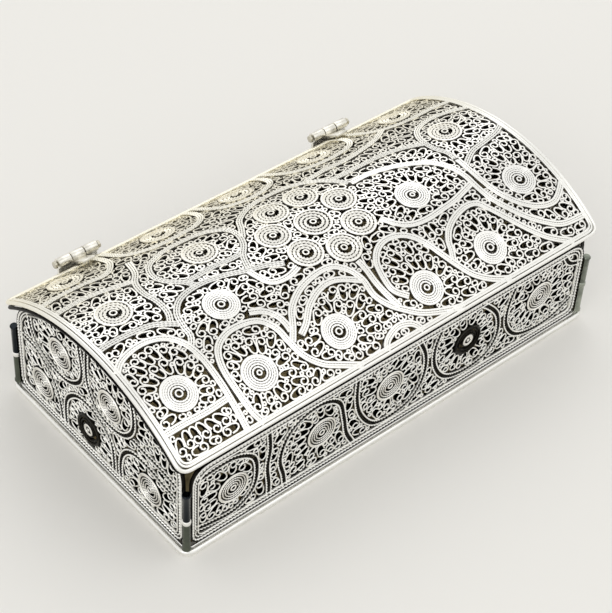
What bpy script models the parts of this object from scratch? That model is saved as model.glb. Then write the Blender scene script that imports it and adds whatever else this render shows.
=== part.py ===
"""A filigree jewelry box: openwork walls between four corner posts, and a vaulted lid on two hinges.

Metres, +Z up. The origin is the middle of the resting face, +X runs along the box, and -Y is the front.
"""
import math

import bmesh
import bpy
from mathutils import Matrix, Vector

MM = 0.001
DEG = math.pi / 180

# Overall sizes
BOX_LENGTH = 130.0 * MM
BOX_WIDTH = 69.4 * MM
EDGE_HEIGHT = 28.7 * MM
LID_RISE = 12.4 * MM
LID_OVERHANG = 1.05 * MM

# Gaps
SEAT_GAP = 0.3 * MM
BAND_GAP = 0.35 * MM
JOINT_DEPTH = 0.4 * MM
CORNER_CLEARANCE = 0.45 * MM
PIN_CLEARANCE = 0.1 * MM

# Sheet work shared by the walls and the lid
WEB_THICKNESS = 0.6 * MM
FRAME_THICKNESS = 1.3 * MM
FRAME_WIDTH = 2.2 * MM
BAND_WIDTH = 1.7 * MM
BAND_THICKNESS = 1.0 * MM
ROSETTE_THICKNESS = 1.1 * MM
ROSETTE_EYE_RADIUS = 1.0 * MM
CURL_LENGTH = 3.5 * MM
CURL_WIDTH = 2.3 * MM
CURL_SPACING = 2.9 * MM
CURL_LAND = 0.5 * MM
CURL_RINGS = 2
LID_CORNER_RADIUS = 3.0 * MM
WALL_CORNER_RADIUS = 5.5 * MM
WALL_FOOT_RADIUS = 2.6 * MM

# Base
WALL_SETBACK = 0.8 * MM
RIM_HEIGHT = 1.8 * MM
RIM_WIDTH = 3.1 * MM
RIM_PROJECTION = 1.3 * MM
RIM_CORNER_RADIUS = 2.8 * MM
FLOOR_THICKNESS = 1.0 * MM
POST_RADIUS = 1.05 * MM
POST_BEAD_RADIUS = 1.1 * MM
POST_CROWN = 6.0 * MM
POST_NECK_SHARE = 0.8

# Hinges
HINGE_LENGTH = 11.2 * MM
HINGE_SETBACK = 1.7 * MM
HINGE_LIFT = 1.3 * MM
KNUCKLE_RADIUS = 1.3 * MM
KNUCKLE_GAP = 0.3 * MM
PIN_RADIUS = 0.5 * MM
PIN_HEAD_RADIUS = 0.95 * MM
PIN_HEAD_LENGTH = 0.7 * MM
LEAF_THICKNESS = 0.7 * MM
BASE_LEAF_DROP = 9.0 * MM
LID_LEAF_REACH = 5.0 * MM
HINGE_PLACE_SHARES = (0.167, 0.785)

# Smoothness of round shapes
ARC_STEP = 4.6 * MM
BEND_STEP = 7.6 * MM
CLEARANCE_STEP = 0.5 * MM
MERGE = 0.005 * MM
CORNER_STEPS = 5
ROSETTE_SIDES = 12
RING_SIDES = 24
POST_SIDES = 12
KNUCKLE_SIDES = 16

# Worked-out places
LID_LENGTH = BOX_LENGTH + 2 * LID_OVERHANG
WALL_X = BOX_LENGTH / 2 - WALL_SETBACK
WALL_Y = BOX_WIDTH / 2 - WALL_SETBACK
RIM_LENGTH = 2 * (WALL_X + RIM_PROJECTION)
RIM_BREADTH = 2 * (WALL_Y + RIM_PROJECTION)
SHEET_THICKNESS = FRAME_THICKNESS + SEAT_GAP + WEB_THICKNESS
LID_RADIUS = ((BOX_WIDTH / 2) ** 2 + LID_RISE ** 2) / (2 * LID_RISE)
LID_HALF_ANGLE = math.asin(BOX_WIDTH / 2 / LID_RADIUS)
LID_ARC = 2 * LID_HALF_ANGLE * LID_RADIUS
VAULT_CENTRE_Z = EDGE_HEIGHT + LID_RISE - LID_RADIUS
ARCH_RADIUS = LID_RADIUS - SHEET_THICKNESS - SEAT_GAP
WALL_FOOT_Z = RIM_HEIGHT + SEAT_GAP
WALL_TOP_Z = VAULT_CENTRE_Z + (LID_RADIUS - SHEET_THICKNESS) * math.cos(LID_HALF_ANGLE) - SEAT_GAP
WALL_HEIGHT = WALL_TOP_Z - WALL_FOOT_Z
POST_SPACE = FRAME_THICKNESS + CORNER_CLEARANCE
POST_INSET = POST_SPACE - POST_BEAD_RADIUS - SEAT_GAP
WEB_INSET = SHEET_THICKNESS + SEAT_GAP - POST_SPACE
LONG_WALL = 2 * (WALL_X - POST_SPACE)
END_WALL = 2 * (WALL_Y - POST_SPACE)
HINGE_Y = BOX_WIDTH / 2 + HINGE_SETBACK
HINGE_Z = EDGE_HEIGHT + HINGE_LIFT
STILL_ORIGIN = Vector((0, 0, 0))
LID_ORIGIN = Vector((0, HINGE_Y, HINGE_Z))

# Ornament of the lid, in shares of its length and of its arc from the front edge
LID_ROSETTE_SHARES = (
    (0.077, 0.215), (0.222, 0.151), (0.396, 0.141), (0.598, 0.124), (0.763, 0.135), (0.9135, 0.29),
    (0.247, 0.405), (0.3015, 0.64), (0.087, 0.573), (0.708, 0.43), (0.891, 0.6175),
    (0.095, 0.87), (0.303, 0.88), (0.487, 0.885), (0.678, 0.88), (0.885, 0.87))
LID_BAND_SHARES = (
    ((0, 0.345), (0.03, 0.395), (0.075, 0.415), (0.115, 0.4), (0.14, 0.355), (0.15, 0.29),
     (0.151, 0.19), (0.149, 0.1), (0.147, 0)),
    ((0, 0.13), (0.05, 0.132), (0.1, 0.13), (0.155, 0.135)),
    ((0.185, 0), (0.172, 0.06), (0.168, 0.14), (0.17, 0.22), (0.185, 0.28), (0.215, 0.31),
     (0.25, 0.312), (0.28, 0.295), (0.298, 0.25), (0.303, 0.19), (0.312, 0.13), (0.335, 0.08),
     (0.37, 0.045), (0.42, 0)),
    ((0.3, 0.165), (0.326, 0.225), (0.348, 0.28), (0.385, 0.322), (0.43, 0.342), (0.465, 0.338),
     (0.488, 0.3), (0.498, 0.25), (0.497, 0.19), (0.51, 0.14), (0.533, 0.1), (0.56, 0.065),
     (0.598, 0.038), (0.64, 0.018), (0.69, 0)),
    ((0.33, 0.19), (0.352, 0.215), (0.378, 0.258), (0.41, 0.287), (0.44, 0.296), (0.468, 0.28),
     (0.505, 0.235)),
    ((0.455, 0), (0.468, 0.04), (0.495, 0.062), (0.515, 0.062), (0.535, 0.045), (0.55, 0)),
    ((0.556, 0.13), (0.536, 0.17), (0.535, 0.22), (0.545, 0.28), (0.57, 0.32), (0.6, 0.33), (0.63, 0.31),
     (0.652, 0.26), (0.665, 0.2), (0.68, 0.14), (0.7, 0.085), (0.735, 0.04), (0.79, 0)),
    ((0.512, 0.355), (0.517, 0.29), (0.516, 0.22), (0.521, 0.16), (0.533, 0.09)),
    ((0.64, 0.6), (0.68, 0.6), (0.72, 0.585), (0.76, 0.555), (0.795, 0.515), (0.817, 0.46), (0.826, 0.4),
     (0.827, 0.34), (0.833, 0.28), (0.85, 0.22), (0.872, 0.165), (0.9, 0.12), (0.935, 0.085), (1, 0.075)),
    ((0.67, 0.13), (0.688, 0.19), (0.695, 0.22), (0.712, 0.255), (0.74, 0.283), (0.775, 0.298),
     (0.8, 0.288), (0.815, 0.25), (0.828, 0.21), (0.845, 0.16), (0.868, 0.105), (0.895, 0.06), (0.95, 0)),
    ((0.845, 0.47), (0.845, 0.4), (0.848, 0.33), (0.86, 0.265), (0.882, 0.212), (0.912, 0.175),
     (0.945, 0.165), (0.972, 0.19), (1, 0.23)),
    ((0.838, 0.42), (0.862, 0.45), (0.89, 0.475), (0.93, 0.487), (0.965, 0.5), (1, 0.53)),
    ((0.604, 0.45), (0.616, 0.41), (0.632, 0.365), (0.655, 0.335), (0.69, 0.325), (0.73, 0.33),
     (0.77, 0.338), (0.84, 0.37)),
    ((0.145, 0.32), (0.161, 0.36), (0.163, 0.4), (0.172, 0.455), (0.198, 0.497), (0.24, 0.512), (0.29, 0.5),
     (0.33, 0.475), (0.37, 0.455), (0.4, 0.43)),
    ((0.276, 0.335), (0.3, 0.315), (0.315, 0.28), (0.319, 0.24), (0.316, 0.18)),
    ((0.332, 0.5), (0.338, 0.44), (0.352, 0.39), (0.385, 0.38), (0.425, 0.4)),
    ((0, 0.462), (0.04, 0.47), (0.09, 0.466), (0.128, 0.452), (0.18, 0.39)),
    ((0.145, 0.42), (0.16, 0.47), (0.163, 0.53), (0.158, 0.59), (0.165, 0.65), (0.185, 0.7), (0.2, 0.78)),
    ((0, 0.69), (0.05, 0.7), (0.1, 0.695), (0.18, 0.655)),
    ((0.25, 0.49), (0.228, 0.55), (0.207, 0.59), (0.199, 0.64), (0.215, 0.7), (0.255, 0.735), (0.3, 0.742),
     (0.345, 0.73), (0.378, 0.69), (0.386, 0.64), (0.375, 0.58), (0.352, 0.53), (0.335, 0.45)),
    ((0.215, 0.545), (0.255, 0.548), (0.3, 0.551), (0.335, 0.545), (0.375, 0.55)),
    ((0.375, 0.58), (0.402, 0.65), (0.42, 0.7), (0.46, 0.742), (0.51, 0.755), (0.56, 0.742), (0.597, 0.705),
     (0.62, 0.66), (0.645, 0.59)),
    ((0.84, 0.44), (0.845, 0.51), (0.834, 0.57), (0.838, 0.64), (0.86, 0.695), (0.9, 0.72), (0.945, 0.71),
     (1, 0.67)),
    ((0.6, 0.67), (0.64, 0.662), (0.69, 0.66), (0.74, 0.658), (0.79, 0.64), (0.84, 0.6)),
    ((0, 0.77), (0.05, 0.785), (0.1, 0.785), (0.15, 0.775), (0.18, 0.83), (0.188, 0.9), (0.19, 1)),
    ((0.21, 1), (0.208, 0.9), (0.22, 0.835), (0.26, 0.795), (0.31, 0.79), (0.36, 0.8), (0.388, 0.84),
     (0.398, 0.91), (0.4, 1)),
    ((0.42, 1), (0.42, 0.9), (0.435, 0.835), (0.47, 0.802), (0.51, 0.8), (0.55, 0.83), (0.563, 0.9),
     (0.565, 1)),
    ((0.585, 1), (0.587, 0.9), (0.605, 0.835), (0.645, 0.8), (0.7, 0.795), (0.745, 0.82), (0.765, 0.89),
     (0.768, 1)),
    ((0.79, 1), (0.792, 0.9), (0.81, 0.835), (0.85, 0.795), (0.9, 0.785), (0.95, 0.785), (1, 0.77)),
    ((0.57, 0.72), (0.63, 0.735), (0.69, 0.732), (0.74, 0.745), (0.79, 0.77), (0.84, 0.83)))
FLOWER_CENTRE_SHARES = (0.511, 0.523)

# Outline of one curl's opening, in shares of its length from the rosette outwards and of its width
CURL_SHARES = ((0, 0), (0.6, 0.5), (1, 0), (0.6, -0.5))

# Ornament of the long walls, in shares of their length and height, seen from outside
LONG_ROSETTE_SHARES = ((0.095, 0.46), (0.305, 0.49), (0.475, 0.57), (0.68, 0.56), (0.88, 0.57))
LONG_BAND_SHARES = (
    ((0, 0.82), (0.05, 0.86), (0.1, 0.85), (0.14, 0.72), (0.15, 0.5), (0.14, 0.27), (0.1, 0.13),
     (0.045, 0.15), (0, 0.2)),
    ((0.22, 0), (0.215, 0.2), (0.205, 0.45), (0.22, 0.7), (0.255, 0.85), (0.305, 0.88), (0.345, 0.76),
     (0.36, 0.5), (0.37, 0.25), (0.395, 0)),
    ((0.175, 1), (0.18, 0.7), (0.175, 0.45), (0.18, 0.2), (0.18, 0)),
    ((0.39, 1), (0.39, 0.65), (0.405, 0.38), (0.44, 0.16), (0.49, 0.12), (0.54, 0.2), (0.565, 0.42),
     (0.565, 0.7), (0.54, 1)),
    ((0.61, 1), (0.59, 0.72), (0.595, 0.45), (0.625, 0.22), (0.675, 0.13), (0.735, 0.17), (0.765, 0.36),
     (0.76, 0.65), (0.73, 0.86), (0.695, 1)),
    ((0.81, 1), (0.79, 0.72), (0.79, 0.45), (0.82, 0.22), (0.87, 0.13), (0.93, 0.14), (1, 0.3)),
    ((0.935, 1), (0.96, 0.8), (1, 0.72)))

# Ornament of the end walls, in shares of their length and of their height at the crown
END_ROSETTE_SHARES = ((0.28, 0.66), (0.58, 0.62), (0.44, 0.2), (0.15, 0.21), (0.81, 0.21))
END_BAND_SHARES = (
    ((0, 0.5), (0.11, 0.49), (0.185, 0.42), (0.235, 0.32), (0.26, 0.2), (0.27, 0.08), (0.275, 0)),
    ((0.3, 0), (0.295, 0.15), (0.31, 0.3), (0.37, 0.41), (0.445, 0.435), (0.52, 0.4), (0.58, 0.3),
     (0.595, 0.15), (0.595, 0)),
    ((0.085, 0.74), (0.1, 0.62), (0.15, 0.53), (0.235, 0.47), (0.32, 0.475), (0.39, 0.56), (0.415, 0.68),
     (0.405, 0.85), (0.395, 1)),
    ((0.455, 1), (0.445, 0.8), (0.45, 0.62), (0.5, 0.48), (0.575, 0.44), (0.66, 0.48), (0.715, 0.6),
     (0.72, 0.76), (0.69, 0.95)),
    ((0.64, 0), (0.635, 0.16), (0.655, 0.3), (0.71, 0.39), (0.805, 0.405), (0.895, 0.38), (1, 0.36)),
    ((0.72, 0.52), (0.785, 0.51), (0.88, 0.5), (1, 0.47)))

# Ornament sizes, in shares of a panel's module: its height, or its length brought to the same figure
ROSETTE_SHARE = 0.0598
FLOWER_EYE_SHARE = 0.0638
FLOWER_PETAL_SHARE = 0.0555
FLOWER_RING_SHARE = 0.146
LID_MODULE_SHARE = 0.57
LONG_ROSETTE_SHARE = 0.176
LONG_MODULE_SHARE = 0.2
END_ROSETTE_SHARE = 0.119
END_MODULE_SHARE = 0.6
FLOWER_PETALS = 7
FLOWER_TURN = 15 * DEG


def clear_scene():
    for old in list(bpy.data.objects):
        bpy.data.objects.remove(old)


def make_metal(name, colour, roughness):
    metal = bpy.data.materials.new(name)
    metal.use_nodes = True
    shader = metal.node_tree.nodes["Principled BSDF"]
    shader.inputs["Base Color"].default_value = (*colour, 1)
    shader.inputs["Roughness"].default_value = roughness
    shader.inputs["Metallic"].default_value = 1
    return metal


def add_part(name, mesh, metal, origin=STILL_ORIGIN):
    """Puts a finished mesh into the box's collection. The lid's pieces have their origins on its axis."""
    part = bpy.data.objects.new(name, mesh)
    part.location = origin
    mesh.transform(Matrix.Translation(-origin))
    mesh.name = name
    mesh.materials.clear()
    mesh.materials.append(metal)
    box_collection.objects.link(part)
    mesh.shade_smooth()
    mesh.set_sharp_from_angle(angle=30 * DEG)
    return part


def mesh_from_curve(curve):
    """The evaluated curve as a mesh with its caps welded on."""
    guide = bpy.data.objects.new(curve.name, curve)
    bpy.context.scene.collection.objects.link(guide)
    depsgraph = bpy.context.evaluated_depsgraph_get()
    mesh = bpy.data.meshes.new_from_object(guide.evaluated_get(depsgraph))
    bpy.data.objects.remove(guide)
    shape = bmesh.new()
    shape.from_mesh(mesh)
    bmesh.ops.remove_doubles(shape, verts=shape.verts, dist=MERGE)
    shape.to_mesh(mesh)
    shape.free()
    return mesh


def mesh_from_outline(loops, thickness):
    """A flat plate, bounded by the first loop and pierced by the others, centred on its own plane."""
    curve = bpy.data.curves.new("outline", "CURVE")
    curve.dimensions = "2D"
    curve.fill_mode = "BOTH"
    curve.extrude = thickness / 2
    for loop in loops:
        spline = curve.splines.new("POLY")
        spline.points.add(len(loop) - 1)
        for corner, (u, v) in zip(spline.points, loop):
            corner.co = (u, v, 0, 1)
        spline.use_cyclic_u = True
    return mesh_from_curve(curve)


def mesh_from_band(route, width, thickness):
    """A band of flattened wire along a flat route: a square tube, laid flat and pressed thinner."""
    curve = bpy.data.curves.new("band", "CURVE")
    curve.dimensions = "3D"
    curve.bevel_depth = width / math.sqrt(2)
    curve.bevel_resolution = 0
    curve.use_fill_caps = True
    spline = curve.splines.new("POLY")
    spline.points.add(len(route) - 1)
    for corner, (u, v) in zip(spline.points, route):
        corner.co = (u, v, 0, 1)
        corner.tilt = 45 * DEG
    mesh = mesh_from_curve(curve)
    tallest = max(vertex.co.z for vertex in mesh.vertices)
    mesh.transform(Matrix.Scale(thickness / 2 / tallest, 4, (0, 0, 1)))
    return mesh


def soldered(body, wires):
    """One closed mesh of a body and the wires that run into it and into each other."""
    shape = bmesh.new()
    for wire in wires:
        shape.from_mesh(wire)
        bpy.data.meshes.remove(wire)
    bundle = bpy.data.meshes.new("wires")
    shape.to_mesh(bundle)
    shape.free()
    base = bpy.data.objects.new("body", body)
    added = bpy.data.objects.new("wires", bundle)
    for piece in (base, added):
        bpy.context.scene.collection.objects.link(piece)
    union = base.modifiers.new("solder", "BOOLEAN")
    union.operation = "UNION"
    union.use_self = True
    union.object = added
    depsgraph = bpy.context.evaluated_depsgraph_get()
    mesh = bpy.data.meshes.new_from_object(base.evaluated_get(depsgraph))
    for piece in (base, added):
        bpy.data.objects.remove(piece)
    shape = bmesh.new()
    shape.from_mesh(mesh)
    bmesh.ops.triangulate(shape, faces=shape.faces)
    shape.to_mesh(mesh)
    shape.free()
    return mesh


def eased_corner(before, corner, after, cut):
    """The points that round one corner of an outline, from cut before it to cut after it."""
    corner = Vector(corner)
    start = corner + (Vector(before) - corner).normalized() * cut
    end = corner + (Vector(after) - corner).normalized() * cut
    points = []
    for step in range(CORNER_STEPS + 1):
        share = step / CORNER_STEPS
        point = start * (1 - share) ** 2 + corner * 2 * share * (1 - share) + end * share ** 2
        points.append(tuple(point))
    return points


def smooth_route(points, step):
    """Evenly spaced points on a smooth curve through the given ones."""
    places = [Vector(point) for point in points]
    places = [2 * places[0] - places[1]] + places + [2 * places[-1] - places[-2]]
    fine = []
    for before, start, end, after in zip(places, places[1:], places[2:], places[3:]):
        count = max(2, math.ceil((end - start).length / CLEARANCE_STEP))
        for index in range(count):
            share = index / count
            fine.append(0.5 * (2 * start + (end - before) * share
                               + (2 * before - 5 * start + 4 * end - after) * share ** 2
                               + (3 * start - before - 3 * end + after) * share ** 3))
    fine.append(places[-2])
    return evenly_spaced(fine, step)


def evenly_spaced(fine, step):
    length = sum((end - start).length for start, end in zip(fine, fine[1:]))
    count = max(1, round(length / step))
    spaced = [fine[0]]
    walked = 0
    for start, end in zip(fine, fine[1:]):
        walked += (end - start).length
        if walked >= length * len(spaced) / count and len(spaced) < count:
            spaced.append(end)
    spaced.append(fine[-1])
    return spaced


def distance_to_route(point, route):
    nearest = math.inf
    for start, end in zip(route, route[1:]):
        along = end - start
        share = min(1, max(0, (point - start).dot(along) / along.length_squared))
        nearest = min(nearest, (start + along * share - point).length)
    return nearest


def are_apart(opening, other):
    """Whether two small openings leave a wire's width between them."""
    between = (sum(opening, Vector((0, 0))) / len(opening) - sum(other, Vector((0, 0))) / len(other)).length
    if between > CURL_LENGTH + CURL_LAND:
        return True
    if between < CURL_WIDTH:
        return False
    return all(distance_to_route(point, loop + loop[:1]) > CURL_LAND and not is_inside(point, loop)
               for points, loop in ((opening, other), (other, opening)) for point in points)


def is_inside(point, loop):
    inside = False
    for (u1, v1), (u2, v2) in zip(loop, loop[1:] + loop[:1]):
        if (v1 > point.y) != (v2 > point.y) and point.x < u1 + (point.y - v1) * (u2 - u1) / (v2 - v1):
            inside = not inside
    return inside


class Panel:
    """One sheet of filigree, drawn flat from its lower left corner and then put in its place on the box.

    Its own coordinates are u along it, v up it and n outwards from its outer face.
    """

    def __init__(self, name, length, height, arch_radius, corner_radius, foot_radius, place, origin,
                 bent=False):
        self.name = name
        self.length = length
        self.height = height
        self.arch_radius = arch_radius
        self.corner_radius = corner_radius
        self.foot_radius = foot_radius
        self.place = place
        self.origin = origin
        self.bent = bent

    def outline(self, inset):
        """The panel's edge, moved inwards by an inset. On a bent panel its ends are cut into even steps."""
        left = inset
        right = self.length - inset
        bottom = inset
        shoulder = self.height - inset
        crown = []
        steps = math.ceil(self.height / BEND_STEP) if self.bent else 1
        rises = [self.height * step / steps for step in range(1, steps)]
        if self.arch_radius:
            radius = self.arch_radius - inset
            centre_v = self.height - self.arch_radius
            shoulder = centre_v + math.sqrt(radius ** 2 - (self.length / 2 - inset) ** 2)
            half_angle = math.asin((self.length / 2 - inset) / radius)
            count = math.ceil(2 * half_angle * radius / (2 * ARC_STEP))
            for index in range(1, count):
                angle = half_angle * (1 - 2 * index / count)
                crown.append((self.length / 2 + radius * math.sin(angle),
                              centre_v + radius * math.cos(angle)))
        right_side = [(right, rise) for rise in rises]
        left_side = [(left, rise) for rise in reversed(rises)]
        corners = [(left, bottom), (right, bottom), *right_side, (right, shoulder), *crown, (left, shoulder),
                   *left_side]
        cuts = {0: self.foot_radius, 1: self.foot_radius, 1 + steps: self.corner_radius,
                1 + steps + len(crown) + 1: self.corner_radius}
        points = []
        for index, corner in enumerate(corners):
            if index in cuts:
                cut = max(cuts[index] - inset / 2, cuts[index] / 2)
                after = corners[(index + 1) % len(corners)]
                points += eased_corner(corners[index - 1], corner, after, cut)
            else:
                points.append(corner)
        return points

    def settle(self, mesh, face):
        """Moves a flat mesh so that its outer side lies at the depth face, then to its place on the box."""
        thickness = max(vertex.co.z for vertex in mesh.vertices)
        for vertex in mesh.vertices:
            vertex.co = self.place(vertex.co.x, vertex.co.y, vertex.co.z - thickness - face)
        mesh.update()
        return mesh

    def crossed(self, mesh):
        """Cuts a flat mesh across at even steps up the panel, so that it can follow a bend."""
        shape = bmesh.new()
        shape.from_mesh(mesh)
        bmesh.ops.triangulate(shape, faces=shape.faces)
        count = math.ceil(self.height / BEND_STEP)
        for index in range(1, count):
            everything = shape.verts[:] + shape.edges[:] + shape.faces[:]
            bmesh.ops.bisect_plane(shape, geom=everything, dist=MERGE, plane_no=(0, 1, 0),
                                   plane_co=(0, self.height * index / count, 0))
        bmesh.ops.triangulate(shape, faces=shape.faces)
        shape.to_mesh(mesh)
        shape.free()
        return mesh

    def clear_band(self, route, bands, rosettes):
        """The longest stretch of a route between soldered joints that stays off the rosettes."""
        middle = self.outline(FRAME_WIDTH / 2)
        runs = [[]]
        for index, point in enumerate(route):
            ahead = route[min(index + 1, len(route) - 1)]
            behind = route[max(index - 1, 0)]
            along = (ahead - behind).normalized()
            across = Vector((-along.y, along.x)) * BAND_WIDTH / 2
            sides = (point - across, point, point + across)
            free = is_inside(point, middle)
            free = free and all(distance_to_route(point, other) > JOINT_DEPTH for other in bands)
            for centre, radius in rosettes:
                free = free and all((side - centre).length > radius + BAND_GAP for side in sides)
            if free:
                runs[-1].append(point)
            elif runs[-1]:
                runs.append([])
        return max(runs, key=len)

    def lay_bands(self, band_shares, rosettes):
        """The middle lines of the scroll bands, each cut short where it would run into an earlier one."""
        bands = []
        for shares in band_shares:
            points = [(u * self.length, v * self.height) for u, v in shares]
            route = self.clear_band(smooth_route(points, CLEARANCE_STEP), bands, rosettes)
            if len(route) * CLEARANCE_STEP > 2 * BAND_WIDTH:
                bands.append(evenly_spaced(route, ARC_STEP))
        return self.anchored(bands)

    def anchored(self, bands):
        """The bands that are soldered to the border, straight or by way of one another."""
        opening = self.outline(FRAME_WIDTH - JOINT_DEPTH)
        held = [band for band in bands if not (is_inside(band[0], opening) and is_inside(band[-1], opening))]
        reached = True
        while reached:
            loose = [band for band in bands if band not in held]
            reached = [band for band in loose if any(
                distance_to_route(near[end], far) < BAND_WIDTH - JOINT_DEPTH
                for other in held for near, far in ((band, other), (other, band)) for end in (0, -1))]
            held += reached
        return held

    def curl_openings(self, bands, rosettes):
        """The openings of the filler curls: in rings round each rosette, then in rows on what is left."""
        field = self.outline(FRAME_WIDTH + CURL_LAND)
        pitch = CURL_LENGTH + CURL_LAND
        feet = []
        for ring, centre, radius in [(ring, *rosette) for ring in range(CURL_RINGS) for rosette in rosettes]:
            start = radius + CURL_LAND + ring * pitch
            count = round(2 * math.pi * (start + CURL_LENGTH / 2) / CURL_SPACING)
            for index in range(count):
                along = Matrix.Rotation(2 * math.pi * (index + 0.5) / count, 2) @ Vector((1, 0))
                feet.append((centre + along * start, along))
        if self.bent:
            step = CURL_SPACING / 2
            feet += [(Vector((column * step, row * step)), Vector((0, 1)))
                     for row in range(round(self.height / step)) for column in range(round(self.length / step))]
        openings = []
        for foot, along in feet:
            across = along.orthogonal()
            opening = [foot + along * out * CURL_LENGTH + across * side * CURL_WIDTH
                       for out, side in CURL_SHARES]
            fits = all(is_inside(point, field) for point in opening)
            fits = fits and all(distance_to_route(point, band) > BAND_WIDTH / 2
                                for point in opening for band in bands)
            fits = fits and all((point - place).length > room + CURL_LAND / 2
                                for point in opening for place, room in rosettes)
            if fits and all(are_apart(opening, other) for other in openings):
                openings.append(opening)
        return openings

    def add_web(self, bands, rosettes, metal):
        """The sheet of filler wire behind the frame, a little smaller, with an opening through each curl."""
        loops = [self.outline(WEB_INSET), *self.curl_openings(bands, rosettes)]
        mesh = mesh_from_outline(loops, WEB_THICKNESS)
        if self.bent:
            mesh = self.crossed(mesh)
        add_part(f"{self.name}_filigree", self.settle(mesh, FRAME_THICKNESS + SEAT_GAP), metal, self.origin)

    def add_frame(self, bands, metal):
        """The border with the scroll bands soldered into it."""
        border = mesh_from_outline([self.outline(0), self.outline(FRAME_WIDTH)], FRAME_THICKNESS)
        mesh = soldered(border, [mesh_from_band(band, BAND_WIDTH, BAND_THICKNESS) for band in bands])
        add_part(f"{self.name}_scroll_frame", self.settle(mesh, 0), metal, self.origin)

    def add_rosettes(self, rosettes, metal):
        for number, (centre, radius) in enumerate(rosettes, 1):
            mesh = rosette_mesh(radius)
            mesh.transform(Matrix.Translation((centre.x, centre.y, 0)))
            mesh = self.settle(mesh, (FRAME_THICKNESS - ROSETTE_THICKNESS) / 2)
            add_part(f"{self.name}_rosette_{number}", mesh, metal, self.origin)

    def add_flower(self, coils, metal):
        """An eye and its petals, held together by a ring of wire that runs into all of them."""
        centre, eye = coils[0]
        reach = (coils[1][0] - centre).length
        ring_inner = eye - JOINT_DEPTH
        ring_outer = reach - coils[1][1] + JOINT_DEPTH
        loops = [ring_points(centre, ring_outer), ring_points(centre, ring_inner)]
        ring = mesh_from_outline(loops, WEB_THICKNESS)
        meshes = []
        for place, radius in coils:
            mesh = rosette_mesh(radius)
            mesh.transform(Matrix.Translation((place.x, place.y, 0)))
            meshes.append(mesh)
        mesh = soldered(ring, meshes)
        mesh = self.settle(mesh, (FRAME_THICKNESS - ROSETTE_THICKNESS) / 2)
        add_part(f"{self.name}_flower", mesh, metal, self.origin)

    def spots(self, shares, radius):
        """Rosette places, kept inside the frame."""
        margin = FRAME_WIDTH + BAND_GAP + radius
        spots = []
        for u, v in shares:
            across = min(max(u * self.length, margin), self.length - margin)
            up = min(max(v * self.height, margin), self.height - margin)
            spots.append((Vector((across, up)), radius))
        return spots


def ring_points(centre, radius):
    """The corners of a round outline."""
    turns = [2 * math.pi * (index + 0.5) / RING_SIDES for index in range(RING_SIDES)]
    return [(centre.x + radius * math.cos(turn), centre.y + radius * math.sin(turn)) for turn in turns]


def rosette_mesh(radius):
    """A flat coil as a ring: its rim falls away a little, and its eye is open."""
    low = -ROSETTE_THICKNESS / 2
    high = ROSETTE_THICKNESS / 2
    shoulder = radius - ROSETTE_THICKNESS / 2
    shape = bmesh.new()
    profile = [(ROSETTE_EYE_RADIUS, low), (radius, low), (shoulder, high), (ROSETTE_EYE_RADIUS, high)]
    corners = [shape.verts.new((across, 0, up)) for across, up in profile]
    edges = [shape.edges.new(pair) for pair in zip(corners, corners[1:] + corners[:1])]
    bmesh.ops.spin(shape, geom=corners + edges, axis=(0, 0, 1), cent=(0, 0, 0), angle=2 * math.pi,
                   steps=ROSETTE_SIDES, use_merge=True)
    bmesh.ops.remove_doubles(shape, verts=shape.verts, dist=MERGE)
    bmesh.ops.recalc_face_normals(shape, faces=shape.faces)
    mesh = bpy.data.meshes.new("rosette")
    shape.to_mesh(mesh)
    shape.free()
    return mesh


def on_lid(u, v, n):
    angle = v / LID_RADIUS - LID_HALF_ANGLE
    reach = LID_RADIUS + n
    return Vector((u - LID_LENGTH / 2, reach * math.sin(angle), VAULT_CENTRE_Z + reach * math.cos(angle)))


def on_front(u, v, n):
    return Vector((u - LONG_WALL / 2, -WALL_Y - n, WALL_FOOT_Z + v))


def on_back(u, v, n):
    return Vector((LONG_WALL / 2 - u, WALL_Y + n, WALL_FOOT_Z + v))


def on_left_end(u, v, n):
    return Vector((-WALL_X - n, END_WALL / 2 - u, WALL_FOOT_Z + v))


def on_right_end(u, v, n):
    return Vector((WALL_X + n, u - END_WALL / 2, WALL_FOOT_Z + v))


def rounded_rectangle(length, width, radius):
    """The outline of a rectangle about the origin, with rounded corners."""
    across = length / 2
    up = width / 2
    corners = [(-across, -up), (across, -up), (across, up), (-across, up)]
    points = []
    for index, corner in enumerate(corners):
        points += eased_corner(corners[index - 1], corner, corners[(index + 1) % 4], radius)
    return points


# Base: floor, rim and posts
def add_floor(metal):
    inner_length = RIM_LENGTH - 2 * (RIM_WIDTH + SEAT_GAP)
    inner_width = RIM_BREADTH - 2 * (RIM_WIDTH + SEAT_GAP)
    outline = rounded_rectangle(inner_length, inner_width, RIM_CORNER_RADIUS)
    mesh = mesh_from_outline([outline], FLOOR_THICKNESS)
    mesh.transform(Matrix.Translation((0, 0, FLOOR_THICKNESS / 2)))
    add_part("base_plate", mesh, metal)


def add_rim(metal):
    outer = rounded_rectangle(RIM_LENGTH, RIM_BREADTH, RIM_CORNER_RADIUS)
    inner = rounded_rectangle(RIM_LENGTH - 2 * RIM_WIDTH, RIM_BREADTH - 2 * RIM_WIDTH, RIM_CORNER_RADIUS / 2)
    mesh = mesh_from_outline([outer, inner], RIM_HEIGHT)
    mesh.transform(Matrix.Translation((0, 0, RIM_HEIGHT / 2)))
    rim = add_part("base_rim", mesh, metal)
    soften = rim.modifiers.new("rounded edges", "BEVEL")
    soften.width = RIM_HEIGHT / 4
    soften.segments = 1
    soften.limit_method = "ANGLE"
    soften.angle_limit = 60 * DEG


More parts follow.
